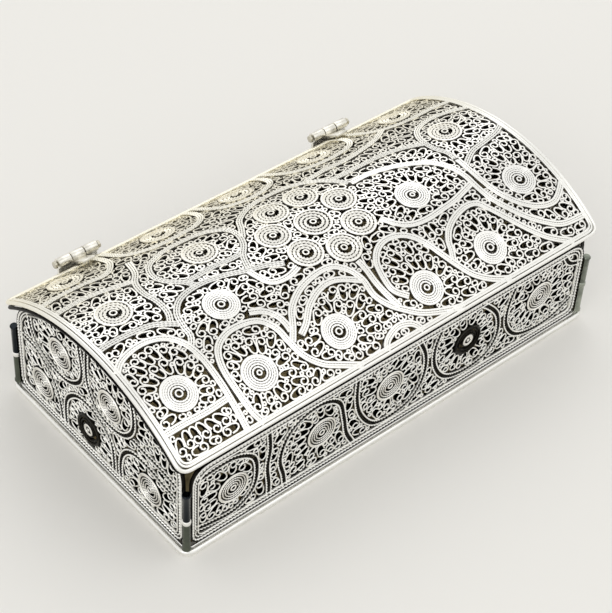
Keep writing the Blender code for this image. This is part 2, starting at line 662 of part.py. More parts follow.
def add_posts(metal):
    """Polished rods at the corners, each with a small bead half way up."""
    foot = WALL_FOOT_Z
    top = WALL_TOP_Z - POST_CROWN
    middle = (foot + top) / 2
    neck = POST_BEAD_RADIUS * POST_NECK_SHARE
    profile = [(0, top), (POST_RADIUS, top), (POST_RADIUS, middle + neck), (POST_BEAD_RADIUS, middle),
               (POST_RADIUS, middle - neck), (POST_RADIUS, foot), (0, foot)]
    for side_name, side in (("left", -1), ("right", 1)):
        for face_name, face in (("front", -1), ("back", 1)):
            shape = bmesh.new()
            corners = [shape.verts.new((across, 0, up)) for across, up in profile]
            edges = [shape.edges.new(pair) for pair in zip(corners, corners[1:])]
            bmesh.ops.spin(shape, geom=corners + edges, axis=(0, 0, 1), cent=(0, 0, 0), angle=2 * math.pi,
                           steps=POST_SIDES, use_merge=True)
            bmesh.ops.remove_doubles(shape, verts=shape.verts, dist=MERGE)
            bmesh.ops.recalc_face_normals(shape, faces=shape.faces)
            place = (side * (WALL_X - POST_INSET), face * (WALL_Y - POST_INSET), 0)
            bmesh.ops.translate(shape, verts=shape.verts, vec=place)
            mesh = bpy.data.meshes.new("post")
            shape.to_mesh(mesh)
            shape.free()
            add_part(f"corner_post_{face_name}_{side_name}", mesh, metal)


# Hinges
def rod(radius, start_x, end_x, y, z, sides):
    """A closed round bar along X."""
    shape = bmesh.new()
    length = end_x - start_x
    bmesh.ops.create_cone(shape, cap_ends=True, segments=sides, radius1=radius, radius2=radius,
                          depth=length)
    bmesh.ops.rotate(shape, verts=shape.verts, cent=(0, 0, 0), matrix=Matrix.Rotation(math.pi / 2, 3, "Y"))
    bmesh.ops.translate(shape, verts=shape.verts, vec=((start_x + end_x) / 2, y, z))
    mesh = bpy.data.meshes.new("rod")
    shape.to_mesh(mesh)
    shape.free()
    return mesh


def side_plate(outline, start_x, end_x):
    """An outline in the YZ plane, as thick as the stretch of X it fills."""
    mesh = mesh_from_outline([outline], end_x - start_x)
    mesh.transform(Matrix(((0, 0, 1, (start_x + end_x) / 2), (1, 0, 0, 0), (0, 1, 0, 0), (0, 0, 0, 1))))
    return mesh


def add_cutter(name, mesh):
    cutter = bpy.data.objects.new(name, mesh)
    cutter_collection.objects.link(cutter)
    cutter.hide_render = True
    cutter.display_type = "WIRE"
    return cutter


def boolean(part, cutter, operation):
    change = part.modifiers.new(operation.lower(), "BOOLEAN")
    change.operation = operation
    change.object = cutter


def add_hinge(side_name, middle_x, metal, pin_metal):
    """A hinge of three knuckles: the outer two are the base leaf's, and the middle one is the lid leaf's."""
    start = middle_x - HINGE_LENGTH / 2
    end = middle_x + HINGE_LENGTH / 2
    knuckle = (HINGE_LENGTH - 2 * KNUCKLE_GAP) / 3
    first_end = start + knuckle
    last_start = end - knuckle
    name = f"hinge_{side_name}"

    # Base leaf: a joggled plate behind the back wall, with a knuckle at each end of its top edge
    wall_face = WALL_Y + SEAT_GAP
    plate_back = HINGE_Y + LEAF_THICKNESS / 4
    plate_front = plate_back - LEAF_THICKNESS
    plate_foot = HINGE_Z - BASE_LEAF_DROP
    shelf = WALL_TOP_Z - SEAT_GAP
    outline = [(wall_face, plate_foot), (plate_back, plate_foot), (plate_back, HINGE_Z),
               (plate_front, HINGE_Z), (plate_front, shelf), (wall_face, shelf - LEAF_THICKNESS)]
    base_leaf = add_part(f"{name}_base_leaf", side_plate(outline, start, end), metal)
    for place, low, high in (("first", start, first_end), ("last", last_start, end)):
        shell = rod(KNUCKLE_RADIUS, low, high, HINGE_Y, HINGE_Z, KNUCKLE_SIDES)
        boolean(base_leaf, add_cutter(f"{name}_{place}_knuckle", shell), "UNION")
    room = KNUCKLE_RADIUS + SEAT_GAP
    middle_room = rod(room, first_end, last_start, HINGE_Y, HINGE_Z, KNUCKLE_SIDES)
    boolean(base_leaf, add_cutter(f"{name}_middle_room", middle_room), "DIFFERENCE")
    bore = rod(PIN_RADIUS + PIN_CLEARANCE, start - room, end + room, HINGE_Y, HINGE_Z, POST_SIDES)
    bore_cutter = add_cutter(f"{name}_bore", bore)
    boolean(base_leaf, bore_cutter, "DIFFERENCE")

    # Lid leaf: a knuckle and a tongue that lies on the lid's back rail
    tongue_start = first_end + KNUCKLE_GAP
    tongue_end = last_start - KNUCKLE_GAP
    lean = LID_HALF_ANGLE - LID_LEAF_REACH / LID_RADIUS / 2
    outwards = Vector((math.sin(lean), math.cos(lean)))
    forwards = Vector((-math.cos(lean), math.sin(lean)))
    rail = Vector((LID_RADIUS * math.sin(lean), VAULT_CENTRE_Z + LID_RADIUS * math.cos(lean)))
    axis = Vector((HINGE_Y, HINGE_Z))
    foot = axis + outwards * ((rail - axis).dot(outwards) + SEAT_GAP)
    tip = forwards * ((rail - axis).dot(forwards) + LID_LEAF_REACH / 2)
    rise = outwards * LEAF_THICKNESS
    tongue = [tuple(point) for point in (foot, foot + rise, foot + tip + rise, foot + tip)]
    plate = side_plate(tongue, tongue_start, tongue_end)
    lid_leaf = add_part(f"{name}_lid_leaf", plate, metal, LID_ORIGIN)
    shell = rod(KNUCKLE_RADIUS, tongue_start, tongue_end, HINGE_Y, HINGE_Z, KNUCKLE_SIDES)
    boolean(lid_leaf, add_cutter(f"{name}_lid_knuckle", shell), "UNION")
    boolean(lid_leaf, bore_cutter, "DIFFERENCE")

    # Pin: a rod with a round head at each end
    pin = add_part(f"{name}_pin", rod(PIN_RADIUS, start - SEAT_GAP - PIN_HEAD_LENGTH / 2,
                                      end + SEAT_GAP + PIN_HEAD_LENGTH / 2, HINGE_Y, HINGE_Z, POST_SIDES),
                   pin_metal)
    for place, low in (("left", start - SEAT_GAP - PIN_HEAD_LENGTH), ("right", end + SEAT_GAP)):
        head = rod(PIN_HEAD_RADIUS, low, low + PIN_HEAD_LENGTH, HINGE_Y, HINGE_Z, POST_SIDES)
        boolean(pin, add_cutter(f"{name}_{place}_head", head), "UNION")


clear_scene()
box_collection = bpy.data.collections.new("filigree_jewelry_box")
cutter_collection = bpy.data.collections.new("cutters")
cutter_collection.hide_render = True
bpy.context.scene.collection.children.link(box_collection)
bpy.context.scene.collection.children.link(cutter_collection)

bright_silver = make_metal("bright_silver_wire", (0.82, 0.82, 0.80), 0.28)
white_silver = make_metal("white_silver_coils", (0.80, 0.80, 0.77), 0.4)
dull_silver = make_metal("oxidised_silver_web", (0.42, 0.41, 0.37), 0.5)
dark_silver = make_metal("dark_polished_silver", (0.30, 0.31, 0.30), 0.2)
floor_silver = make_metal("tarnished_silver_sheet", (0.36, 0.33, 0.26), 0.45)

add_floor(floor_silver)
add_rim(bright_silver)
add_posts(dark_silver)

# Walls
crown_height = VAULT_CENTRE_Z + ARCH_RADIUS - WALL_FOOT_Z
long_module = min(WALL_HEIGHT, LONG_WALL * LONG_MODULE_SHARE)
end_module = min(crown_height, END_WALL * END_MODULE_SHARE)
for wall_name, wall_place in (("front", on_front), ("back", on_back)):
    wall = Panel(wall_name, LONG_WALL, WALL_HEIGHT, None, WALL_CORNER_RADIUS, WALL_FOOT_RADIUS, wall_place,
                 STILL_ORIGIN)
    wall_rosettes = wall.spots(LONG_ROSETTE_SHARES, LONG_ROSETTE_SHARE * long_module)
    wall_bands = wall.lay_bands(LONG_BAND_SHARES, wall_rosettes)
    wall.add_web(wall_bands, wall_rosettes, dull_silver)
    wall.add_frame(wall_bands, bright_silver)
    wall.add_rosettes(wall_rosettes, white_silver)
for wall_name, wall_place in (("left_end", on_left_end), ("right_end", on_right_end)):
    wall = Panel(wall_name, END_WALL, crown_height, ARCH_RADIUS, WALL_CORNER_RADIUS, WALL_FOOT_RADIUS,
                 wall_place, STILL_ORIGIN)
    wall_rosettes = wall.spots(END_ROSETTE_SHARES, END_ROSETTE_SHARE * end_module)
    wall_bands = wall.lay_bands(END_BAND_SHARES, wall_rosettes)
    wall.add_web(wall_bands, wall_rosettes, dull_silver)
    wall.add_frame(wall_bands, bright_silver)
    wall.add_rosettes(wall_rosettes, white_silver)

# Lid
lid = Panel("lid", LID_LENGTH, LID_ARC, None, LID_CORNER_RADIUS, LID_CORNER_RADIUS, on_lid, LID_ORIGIN,
            bent=True)
lid_module = min(LID_ARC, LID_LENGTH * LID_MODULE_SHARE)
lid_rosettes = lid.spots(LID_ROSETTE_SHARES, ROSETTE_SHARE * lid_module)
flower_centre = Vector((FLOWER_CENTRE_SHARES[0] * LID_LENGTH, FLOWER_CENTRE_SHARES[1] * LID_ARC))
flower = [(flower_centre, FLOWER_EYE_SHARE * lid_module)]
for petal in range(FLOWER_PETALS):
    turn = FLOWER_TURN + 2 * math.pi * petal / FLOWER_PETALS
    reach = FLOWER_RING_SHARE * lid_module
    flower.append((flower_centre + Vector((math.cos(turn), math.sin(turn))) * reach,
                   FLOWER_PETAL_SHARE * lid_module))
lid_bands = lid.lay_bands(LID_BAND_SHARES, lid_rosettes + flower)
lid.add_web(lid_bands, lid_rosettes + flower, dull_silver)
lid.add_frame(lid_bands, bright_silver)
lid.add_rosettes(lid_rosettes, white_silver)
lid.add_flower(flower, white_silver)

for hinge_side, hinge_share in zip(("left", "right"), HINGE_PLACE_SHARES):
    add_hinge(hinge_side, (hinge_share - 0.5) * BOX_LENGTH, bright_silver, dark_silver)
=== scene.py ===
import math

import bmesh
import bpy
import numpy as np
from mathutils import Matrix, Vector


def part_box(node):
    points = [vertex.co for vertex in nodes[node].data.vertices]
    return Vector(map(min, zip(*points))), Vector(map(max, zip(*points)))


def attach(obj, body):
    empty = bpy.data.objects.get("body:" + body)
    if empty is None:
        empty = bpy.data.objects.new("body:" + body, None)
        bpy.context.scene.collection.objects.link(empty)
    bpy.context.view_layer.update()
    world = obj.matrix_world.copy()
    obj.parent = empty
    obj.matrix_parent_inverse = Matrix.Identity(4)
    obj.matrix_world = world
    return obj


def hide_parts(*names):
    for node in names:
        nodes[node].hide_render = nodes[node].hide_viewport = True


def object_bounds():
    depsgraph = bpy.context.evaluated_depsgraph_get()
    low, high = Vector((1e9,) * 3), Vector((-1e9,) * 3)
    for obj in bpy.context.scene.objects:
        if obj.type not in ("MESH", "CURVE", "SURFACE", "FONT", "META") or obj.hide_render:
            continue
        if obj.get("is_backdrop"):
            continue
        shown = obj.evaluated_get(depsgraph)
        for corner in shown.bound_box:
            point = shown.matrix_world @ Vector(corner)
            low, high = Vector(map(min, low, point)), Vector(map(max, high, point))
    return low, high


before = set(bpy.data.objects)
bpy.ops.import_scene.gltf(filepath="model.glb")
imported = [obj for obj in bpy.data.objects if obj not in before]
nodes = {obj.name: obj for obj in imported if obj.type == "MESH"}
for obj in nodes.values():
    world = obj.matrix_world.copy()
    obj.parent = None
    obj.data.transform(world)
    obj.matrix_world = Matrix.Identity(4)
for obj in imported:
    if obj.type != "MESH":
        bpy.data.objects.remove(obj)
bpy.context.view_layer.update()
MM = 0.001


# Floor sheet: a plain rolled sheet of silver that closes the bottom of the box, soldered inside the rim.
# It is never polished, so it has gone a dull yellowish grey, which shows through the openwork.
def linear(hex_colour):
    """An sRGB hex colour as linear red, green, blue and alpha."""
    parts = [int(hex_colour[start:start + 2], 16) / 255 for start in (1, 3, 5)]
    return (*(part / 12.92 if part <= 0.04045 else ((part + 0.055) / 1.055) ** 2.4 for part in parts), 1)


def add_node(material, kind, inputs, **settings):
    """Adds a shader node. Each input takes a value, or another node's output."""
    node = material.node_tree.nodes.new("ShaderNode" + kind)
    for name, value in settings.items():
        setattr(node, name, value)
    for name, value in inputs.items():
        if isinstance(value, bpy.types.NodeSocket):
            material.node_tree.links.new(value, node.inputs[name])
        else:
            node.inputs[name].default_value = value
    return node


# How far behind the middle of the box the silver, seldom cleaned there, begins to yellow and is yellow.
yellow_from, yellow_to = 4 * MM, 36 * MM


def silver(name, bright, tarnish_and_shade, roughness, patches, grain=(0.3, 0.02), sunk=(0.0, 0.0, 1.0),
           yellowed=None):
    """Silver with tarnish in patches and, where the metal lies sunk between wires, painted shade in the
    gaps.

    patches: how many millimetres across, and how dark as a share. grain, which stands for drawing lines
    and solder: how many millimetres across, and how deep. sunk: the painted shade in the gaps, how dark
    as a share, and between which depths in millimetres it gets so. yellowed: the colour that it goes
    over to at the back of the box.
    """
    patch_mm, spread = patches
    grain_mm, grain_depth_mm = grain
    darkest, dark_from_mm, dark_to_mm = sunk
    metal = bpy.data.materials.new(name)
    metal.use_nodes = True
    shader = metal.node_tree.nodes["Principled BSDF"]
    shader.inputs["Metallic"].default_value = 1.0
    place = add_node(metal, "TexCoord", {}).outputs["Object"]
    patch = add_node(metal, "TexNoise", {"Vector": place, "Scale": 1 / (patch_mm * MM), "Detail": 3.0,
                                         "Roughness": 0.6})
    patched = add_node(metal, "MapRange", {"Value": patch.outputs[0], "From Min": 0.45, "From Max": 0.7,
                                           "To Min": 0.0, "To Max": spread})
    # Painted shade: the colour goes darker with the depth below the outer face.
    depth = add_node(metal, "Attribute", {}, attribute_name="depth")
    sunk_shade = add_node(metal, "MapRange", {"Value": depth.outputs["Fac"], "From Min": dark_from_mm,
                                           "From Max": dark_to_mm, "To Min": 0.0, "To Max": darkest},
                       interpolation_type="SMOOTHSTEP")
    dark = add_node(metal, "Math", {0: patched.outputs[0], 1: sunk_shade.outputs[0]}, operation="ADD",
                    use_clamp=True)
    clean = linear(bright)
    if yellowed:
        run = add_node(metal, "SeparateXYZ", {"Vector": place})
        share = add_node(metal, "MapRange", {"Value": run.outputs["Y"], "From Min": yellow_from,
                                             "From Max": yellow_to, "To Min": 0.0, "To Max": 1.0})
        clean = add_node(metal, "Mix", {0: share.outputs[0], 6: clean, 7: linear(yellowed)},
                         data_type="RGBA").outputs[2]
    colour = add_node(metal, "Mix", {0: dark.outputs[0], 6: clean, 7: linear(tarnish_and_shade)}, data_type="RGBA")
    grains = add_node(metal, "TexNoise", {"Vector": place, "Scale": 1 / (grain_mm * MM), "Detail": 2.0})
    rough = add_node(metal, "MapRange", {"Value": grains.outputs[0], "From Min": 0.3, "From Max": 0.7,
                                         "To Min": roughness - 0.06, "To Max": roughness + 0.1})
    bump = add_node(metal, "Bump", {"Height": grains.outputs[0], "Strength": 0.35,
                                    "Distance": grain_depth_mm * MM})
    link = metal.node_tree.links.new
    link(colour.outputs[2], shader.inputs["Base Color"])
    link(rough.outputs[0], shader.inputs["Roughness"])
    link(bump.outputs[0], shader.inputs["Normal"])
    return metal


def repaint(node, metal):
    """Gives a piece of the frame another finish."""
    for place in nodes[node].material_slots:
        place.material = metal


# Rolled sheet that was never cleaned: dull and yellowish, with large dark patches that are partly
# tarnish and partly painted shade for the dark inside of the box.
tarnish_and_shade_sheet = silver("tarnished_rolled_silver", "#AC9E7A", "#352E22", 0.45, patches=(7.0, 0.85),
                         grain=(0.6, 0.05))
repaint("base_plate", tarnish_and_shade_sheet)


# Base rim: a heavy drawn wire all round the foot of the box, a flat strip under it, and a thin wire
# laid along its shoulder. They are soldered to one another and polished by handling.
def rounded_rectangle(length, width, radius, step=0.6 * MM):
    """A closed route about the origin: straight sides, and corners turned at one radius."""
    route = []
    for turn, (x, y) in enumerate(((1, 1), (-1, 1), (-1, -1), (1, -1))):
        centre = Vector((x * (length / 2 - radius), y * (width / 2 - radius)))
        for share in np.linspace(0, 1, 9):
            angle = (turn + share) * math.pi / 2
            route.append(centre + radius * Vector((math.cos(angle), math.sin(angle))))
    return evenly(np.array(route), step, closed=True)


def evenly(route, step, closed=False):
    """A route walked again in even steps."""
    if closed:
        route = np.vstack([route, route[:1]])
    lengths = np.linalg.norm(np.diff(route, axis=0), axis=1)
    walked = np.concatenate([[0], np.cumsum(lengths)])
    count = max(2, round(walked[-1] / step))
    stops = np.linspace(0, walked[-1], count + 1)
    spaced = np.stack([np.interp(stops, walked, route[:, axis]) for axis in range(2)], axis=1)
    return spaced[:-1] if closed else spaced


def wire_section(width, height, sides=8):
    """The outline of a drawn wire, seen end on."""
    turns = [2 * math.pi * (side + 0.5) / sides for side in range(sides)]
    reach = math.cos(math.pi / sides)
    return [(math.cos(turn) / reach * width / 2, math.sin(turn) / reach * height / 2) for turn in turns]


def strip_section(width, height, ease=0.0):
    """The outline of a flat strip that stands on its edge. Its upper edges can be eased."""
    across, up = width / 2, height / 2
    top = [(across, up - ease), (across - ease, up), (ease - across, up), (-across, up - ease)]
    return [(-across, -up), (across, -up), *(top if ease else top[::3])]


def drawn(routes, section, level, closed=False, swell=None):
    """Draws wires along flat routes, all with one section, at one level. swell lists widths in turn."""
    outline = bpy.data.curves.new("section", "CURVE")
    edge = outline.splines.new("POLY")
    edge.points.add(len(section) - 1)
    edge.points.foreach_set("co", [value for x, y in section for value in (x, y, 0, 1)])
    edge.use_cyclic_u = True
    die = bpy.data.objects.new("die", outline)
    curve = bpy.data.curves.new("wires", "CURVE")
    curve.dimensions = "3D"
    curve.twist_mode = "Z_UP"
    curve.bevel_mode = "OBJECT"
    curve.bevel_object = die
    curve.use_fill_caps = True
    for route in routes:
        wire = curve.splines.new("POLY")
        wire.points.add(len(route) - 1)
        places = np.column_stack([route, np.full(len(route), level), np.ones(len(route))])
        wire.points.foreach_set("co", places.ravel())
        if swell:
            wire.points.foreach_set("radius", np.resize(swell, len(route)))
        wire.use_cyclic_u = closed
    guide = bpy.data.objects.new("wires", curve)
    for helper in (die, guide):
        bpy.context.scene.collection.objects.link(helper)
    view = bpy.context.evaluated_depsgraph_get()
    mesh = bpy.data.meshes.new_from_object(guide.evaluated_get(view))
    for helper in (die, guide):
        bpy.data.objects.remove(helper)
    return mesh


def read(items, name, width, kind=np.float32):
    """One property of all vertices, corners or faces of a mesh, as rows."""
    values = np.zeros(len(items) * width, kind)
    items.foreach_get(name, values)
    return values.reshape(-1, width)


weld = 0.002 * MM
underside_slope = 0.7
wire_sharp, solid_sharp = math.radians(40), math.radians(35)


def finished(name, mesh, metal, body, slot, *stands_for, sharp=solid_sharp):
    """Puts a finished mesh into the scene, on its body, and hides the pieces of the frame that it stands
    for.
    """
    mesh.name = name
    mesh.materials.append(metal)
    mesh.shade_smooth()
    mesh.set_sharp_from_angle(angle=sharp)
    piece = bpy.data.objects.new(name, mesh)
    bpy.context.scene.collection.objects.link(piece)
    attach(piece, body)
    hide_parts(*stands_for)


def soldered(name, parts, place, metal, body, slot, *stands_for):
    """Joins drawn wires into one piece and puts it in its place on the box.

    The wires get painted shade, darker with their depth below the outer face, but not on the face that
    looks inwards.
    """
    shape = bmesh.new()
    for part in parts:
        shape.from_mesh(part)
        bpy.data.meshes.remove(part)
    bmesh.ops.remove_doubles(shape, verts=shape.verts, dist=weld)
    bmesh.ops.recalc_face_normals(shape, faces=shape.faces)
    mesh = bpy.data.meshes.new(name)
    shape.to_mesh(mesh)
    shape.free()
    flat = read(mesh.vertices, "co", 3).astype(float)
    corners = read(mesh.loops, "vertex_index", 1, np.int32).ravel()
    depths = np.maximum(-flat[corners, 2] / MM, 0)
    underside = read(mesh.polygons, "normal", 3)[:, 2] < -underside_slope
    depths[np.repeat(underside, read(mesh.polygons, "loop_total", 1, np.int32).ravel())] = 0
    depth = mesh.attributes.new("depth", "FLOAT", "CORNER")
    depth.data.foreach_set("value", depths.astype(np.float32))
    mesh.vertices.foreach_set("co", place(flat).astype(np.float32).ravel())
    finished(name, mesh, metal, body, slot, *stands_for, sharp=wire_sharp)


# Thick drawn wire, rubbed bright by handling, with painted shade that darkens it with depth.
bright_wire = silver("bright_drawn_silver_wire", "#FAF9F5", "#3B382F", 0.3, patches=(9.0, 0.06),
                     grain=(0.35, 0.02), sunk=(0.95, 0.7, 1.3))
rim_low, rim_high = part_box("base_rim")
rim_length, rim_width = rim_high.x - rim_low.x, rim_high.y - rim_low.y
rim_height = rim_high.z
heavy_wire = 1.35 * MM
thin_wire = 0.6 * MM
rim_strip = 2.5 * MM
rim_radius = 3.0 * MM
heavy_route = rounded_rectangle(rim_length - heavy_wire, rim_width - heavy_wire,
                                rim_radius - heavy_wire / 2)
strip_route = rounded_rectangle(rim_length - rim_strip, rim_width - rim_strip,
                                rim_radius - rim_strip / 2)
thin_route = rounded_rectangle(rim_length - 2 * heavy_wire - thin_wire,
                               rim_width - 2 * heavy_wire - thin_wire, rim_radius - heavy_wire)
strip_height = rim_height - heavy_wire / 2
rim_parts = [
    drawn([heavy_route], wire_section(heavy_wire, heavy_wire, sides=12), strip_height, closed=True),
    drawn([strip_route], strip_section(rim_strip - heavy_wire / 2, strip_height), strip_height / 2,
          closed=True),
    drawn([thin_route], wire_section(thin_wire, thin_wire), rim_height - thin_wire / 2, closed=True)]
soldered("rim_moulding", rim_parts, lambda flat: flat, bright_wire, "base", "bright_silver_wire",
         "base_rim")


# Corner posts: four turned rods between the ends of the walls, with a collar at each end and a bead half
# way up, whose bright wire on three posts is a painted highlight. Their polish has a grey-green film and
# is coloured nearly black above the bead. The front right one is a paler copy, bead and all, as a
# painted reflection.
dark_post = silver("dark_polished_silver_rod", "#5F6459", "#22262A", 0.16, patches=(6.0, 0.4),
                   grain=(0.8, 0.01), sunk=(1.0, 0.2, 0.8))
post_painted_reflection = silver("pale_polished_silver_rod", "#A9AEA2", "#5E635B", 0.2, patches=(6.0, 0.6),
                   grain=(0.8, 0.01), sunk=(0.6, 0.2, 0.8))


def turned(profile, axis_place, sides=32):
    """A shape turned on a lathe from its outline, given as radius and height."""
    shape = bmesh.new()
    corners = [shape.verts.new((radius, 0, height)) for radius, height in profile]
    edges = [shape.edges.new(pair) for pair in zip(corners, corners[1:])]
    bmesh.ops.spin(shape, geom=corners + edges, axis=(0, 0, 1), cent=(0, 0, 0), angle=2 * math.pi,
                   steps=sides, use_merge=True)
    bmesh.ops.remove_doubles(shape, verts=shape.verts, dist=weld)
    bmesh.ops.recalc_face_normals(shape, faces=shape.faces)
    bmesh.ops.translate(shape, verts=shape.verts, vec=axis_place)
    mesh = bpy.data.meshes.new("turned")
    shape.to_mesh(mesh)
    shape.free()
    return mesh


post_radius = 0.9 * MM
bead_radius = 1.1 * MM
bulge = bead_radius - post_radius
collar = 0.5 * MM
bead_height = 1.3 * MM
for corner in ("front_left", "front_right", "back_left", "back_right"):
    low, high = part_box(f"corner_post_{corner}")
    middle = (low.z + high.z) / 2
    axis_place = ((low.x + high.x) / 2, (low.y + high.y) / 2, 0)
    outline = [(0, low.z), (bead_radius, low.z), (bead_radius, low.z + collar),
               (post_radius, low.z + 2 * collar), (post_radius, middle - collar),
               (post_radius, middle + collar), (post_radius, high.z - 2 * collar),
               (bead_radius, high.z - collar), (bead_radius, high.z - collar / 2),
               (post_radius, high.z), (0, high.z)]
    # Beads of bright wire are a painted highlight. The paler front right post is a painted reflection.
    metal, bead_painted_light = (post_painted_reflection, post_painted_reflection) if corner == "front_right" else (dark_post, bright_wire)
    rod = turned(outline, axis_place)
    depth = rod.attributes.new("depth", "FLOAT", "POINT")
    depth.data.foreach_set("value", [float(vertex.co.z > middle) for vertex in rod.vertices])
    finished(f"post_{corner}", rod, metal, "base", "dark_polished_silver", f"corner_post_{corner}")
    swelling = [(post_radius + bulge * math.sin(turn), middle - bead_height / 2 * math.cos(turn))
                for turn in np.linspace(0, math.pi, 9)]
    bead = turned([(post_radius / 2, swelling[0][1]), *swelling, (post_radius / 2, swelling[-1][1])],
                  axis_place)
    finished(f"bead_{corner}", bead, bead_painted_light, "base", "bright_silver_wire")


# Walls: four openwork panels. Each is a border of wires bent round its edge, scroll bands of strips
# side by side, coiled rosettes, and small strips curled like commas that fill the rest. All of it
# stands on edge and is soldered flat on a board before the box is put together.
edge_step = 0.7 * MM


class Panel:
    """One openwork panel, laid out flat: u along it, v up it, and n outwards from its face."""

    def __init__(self, name, length, height, corner, foot, place, arch=None):
        self.name, self.length, self.height = name, length, height
        self.corner, self.foot, self.place, self.arch = corner, foot, place, arch

    def edge(self, inset, step=edge_step):
        """The closed route of the panel's edge, moved inwards."""
        left, right, bottom, shoulder = inset, self.length - inset, inset, self.height - inset
        crown = []
        if self.arch:
            radius = self.arch - inset
            centre = self.height - self.arch
            half = math.asin((self.length / 2 - inset) / radius)
            shoulder = centre + radius * math.cos(half)
            crown = [(self.length / 2 + radius * math.sin(angle), centre + radius * math.cos(angle))
                     for angle in np.linspace(half, -half, 41)[1:-1]]
        corners = [(left, bottom), (right, bottom), (right, shoulder), *crown, (left, shoulder)]
        cuts = {0: self.foot, 1: self.foot, 2: self.corner, len(corners) - 1: self.corner}
        route = []
        for index, corner in enumerate(corners):
            if index not in cuts:
                if min(abs(corner[0] - left), abs(corner[0] - right)) > self.corner:
                    route.append(corner)
                continue
            cut = max(cuts[index] - inset / 2, cuts[index] / 2)
            here = np.array(corner)
            before = np.array(corners[index - 1])
            after = np.array(corners[(index + 1) % len(corners)])
            if self.arch and index == 2:
                after = np.array(crown[2])
            if self.arch and index == len(corners) - 1:
                before = np.array(crown[-3])
            start = here + (before - here) / np.linalg.norm(before - here) * cut
            end = here + (after - here) / np.linalg.norm(after - here) * cut
            for share in np.linspace(0, 1, 11):
                route.append(tuple(start * (1 - share) ** 2 + here * 2 * share * (1 - share)
                                   + end * share ** 2))
        return evenly(np.array(route), step, closed=True)


def smooth_route(points, step):
    """Even steps along a smooth curve through the given points."""
    knots = [2 * points[0] - points[1], *points, 2 * points[-1] - points[-2]]
    fine = []
    for before, start, end, after in zip(knots, knots[1:], knots[2:], knots[3:]):
        for share in np.linspace(0, 1, 12, endpoint=False):
            fine.append(0.5 * (2 * start + (end - before) * share
                               + (2 * before - 5 * start + 4 * end - after) * share ** 2
                               + (3 * start - before - 3 * end + after) * share ** 3))
    fine.append(points[-1])
    return evenly(np.array(fine), step)


def beside(route, shift):
    """A route moved sideways."""
    along = np.gradient(route, axis=0)
    along /= np.linalg.norm(along, axis=1, keepdims=True)
    return route + shift * np.stack([-along[:, 1], along[:, 0]], axis=1)


def inside(points, loop):
    """Which of the points lie inside a closed loop."""
    found = np.zeros(len(points), bool)
    for (u1, v1), (u2, v2) in zip(loop, np.roll(loop, -1, axis=0)):
        if v1 != v2:
            crosses = (v1 > points[:, 1]) != (v2 > points[:, 1])
            found ^= crosses & (points[:, 0] < u1 + (points[:, 1] - v1) * (u2 - u1) / (v2 - v1))
    return found


def gap_to(points, route):
    """How far each point is from the nearest step of a route."""
    return np.sqrt(((points[:, None] - route[None]) ** 2).sum(axis=2).min(axis=1))


border_width = 2.2 * MM
band_width = 1.7 * MM
band_gap = 0.35 * MM
joint_depth = 0.4 * MM
strand = 0.55 * MM
strand_spacing = 0.57 * MM
strand_height = 1.15 * MM
strand_level = -0.68 * MM
strand_ease = 0.09 * MM
strand_step = 0.8 * MM
route_step = 0.25 * MM
shortest_band_steps = 10

# Widths of a twisted wire in turn, as shares, and the step between them. Real wire is twisted about
# twice as fine, which wouldn't show.
twist = (1.0, 0.78)
twist_step = 0.36 * MM
coarse_twist = (1.0, 0.45)
coarse_step = 0.48 * MM
knotted = (1.0, 0.55, 0.9, 0.4, 1.1, 0.7)


def bands_on(panel, shares, discs):
    """The middle lines of the scroll bands, each ended at a rosette, the border or another band."""
    opening = panel.edge(border_width / 2)
    bands = []
    for table in shares:
        points = [np.array((u * panel.length, v * panel.height)) for u, v in table]
        route = smooth_route(points, route_step)
        free = inside(route, opening)
        for band in bands:
            free &= gap_to(route, band) > joint_depth
        for centre, radius in discs:
            for side in (-band_width / 2, band_width / 2):
                free &= np.linalg.norm(beside(route, side) - centre, axis=1) > radius + band_gap
        stretches = np.split(np.arange(len(route)), np.where(~free)[0])
        longest = max((stretch[free[stretch]] for stretch in stretches), key=len)
        if len(longest) > shortest_band_steps:
            bands.append(route[longest])
    return bands


# One curl's width along its length, in shares: a little narrower at its foot and round at its head.
# Its room is tested and its ground covered a little narrower than that, so that neighbours touch.
CURL_STATIONS = (0.0, 0.2, 0.4, 0.6, 0.8, 0.92, 1.0)
CURL_HALVES = (0.25, 0.36, 0.41, 0.47, 0.47, 0.34, 0.1)
TEST_SHARE = 0.9
COVER_SHARE = 0.04
CURL_OUTLINE = [(out, side * half * TEST_SHARE) for out, half in zip(CURL_STATIONS, CURL_HALVES)
                for side in (-1, 0, 1)]


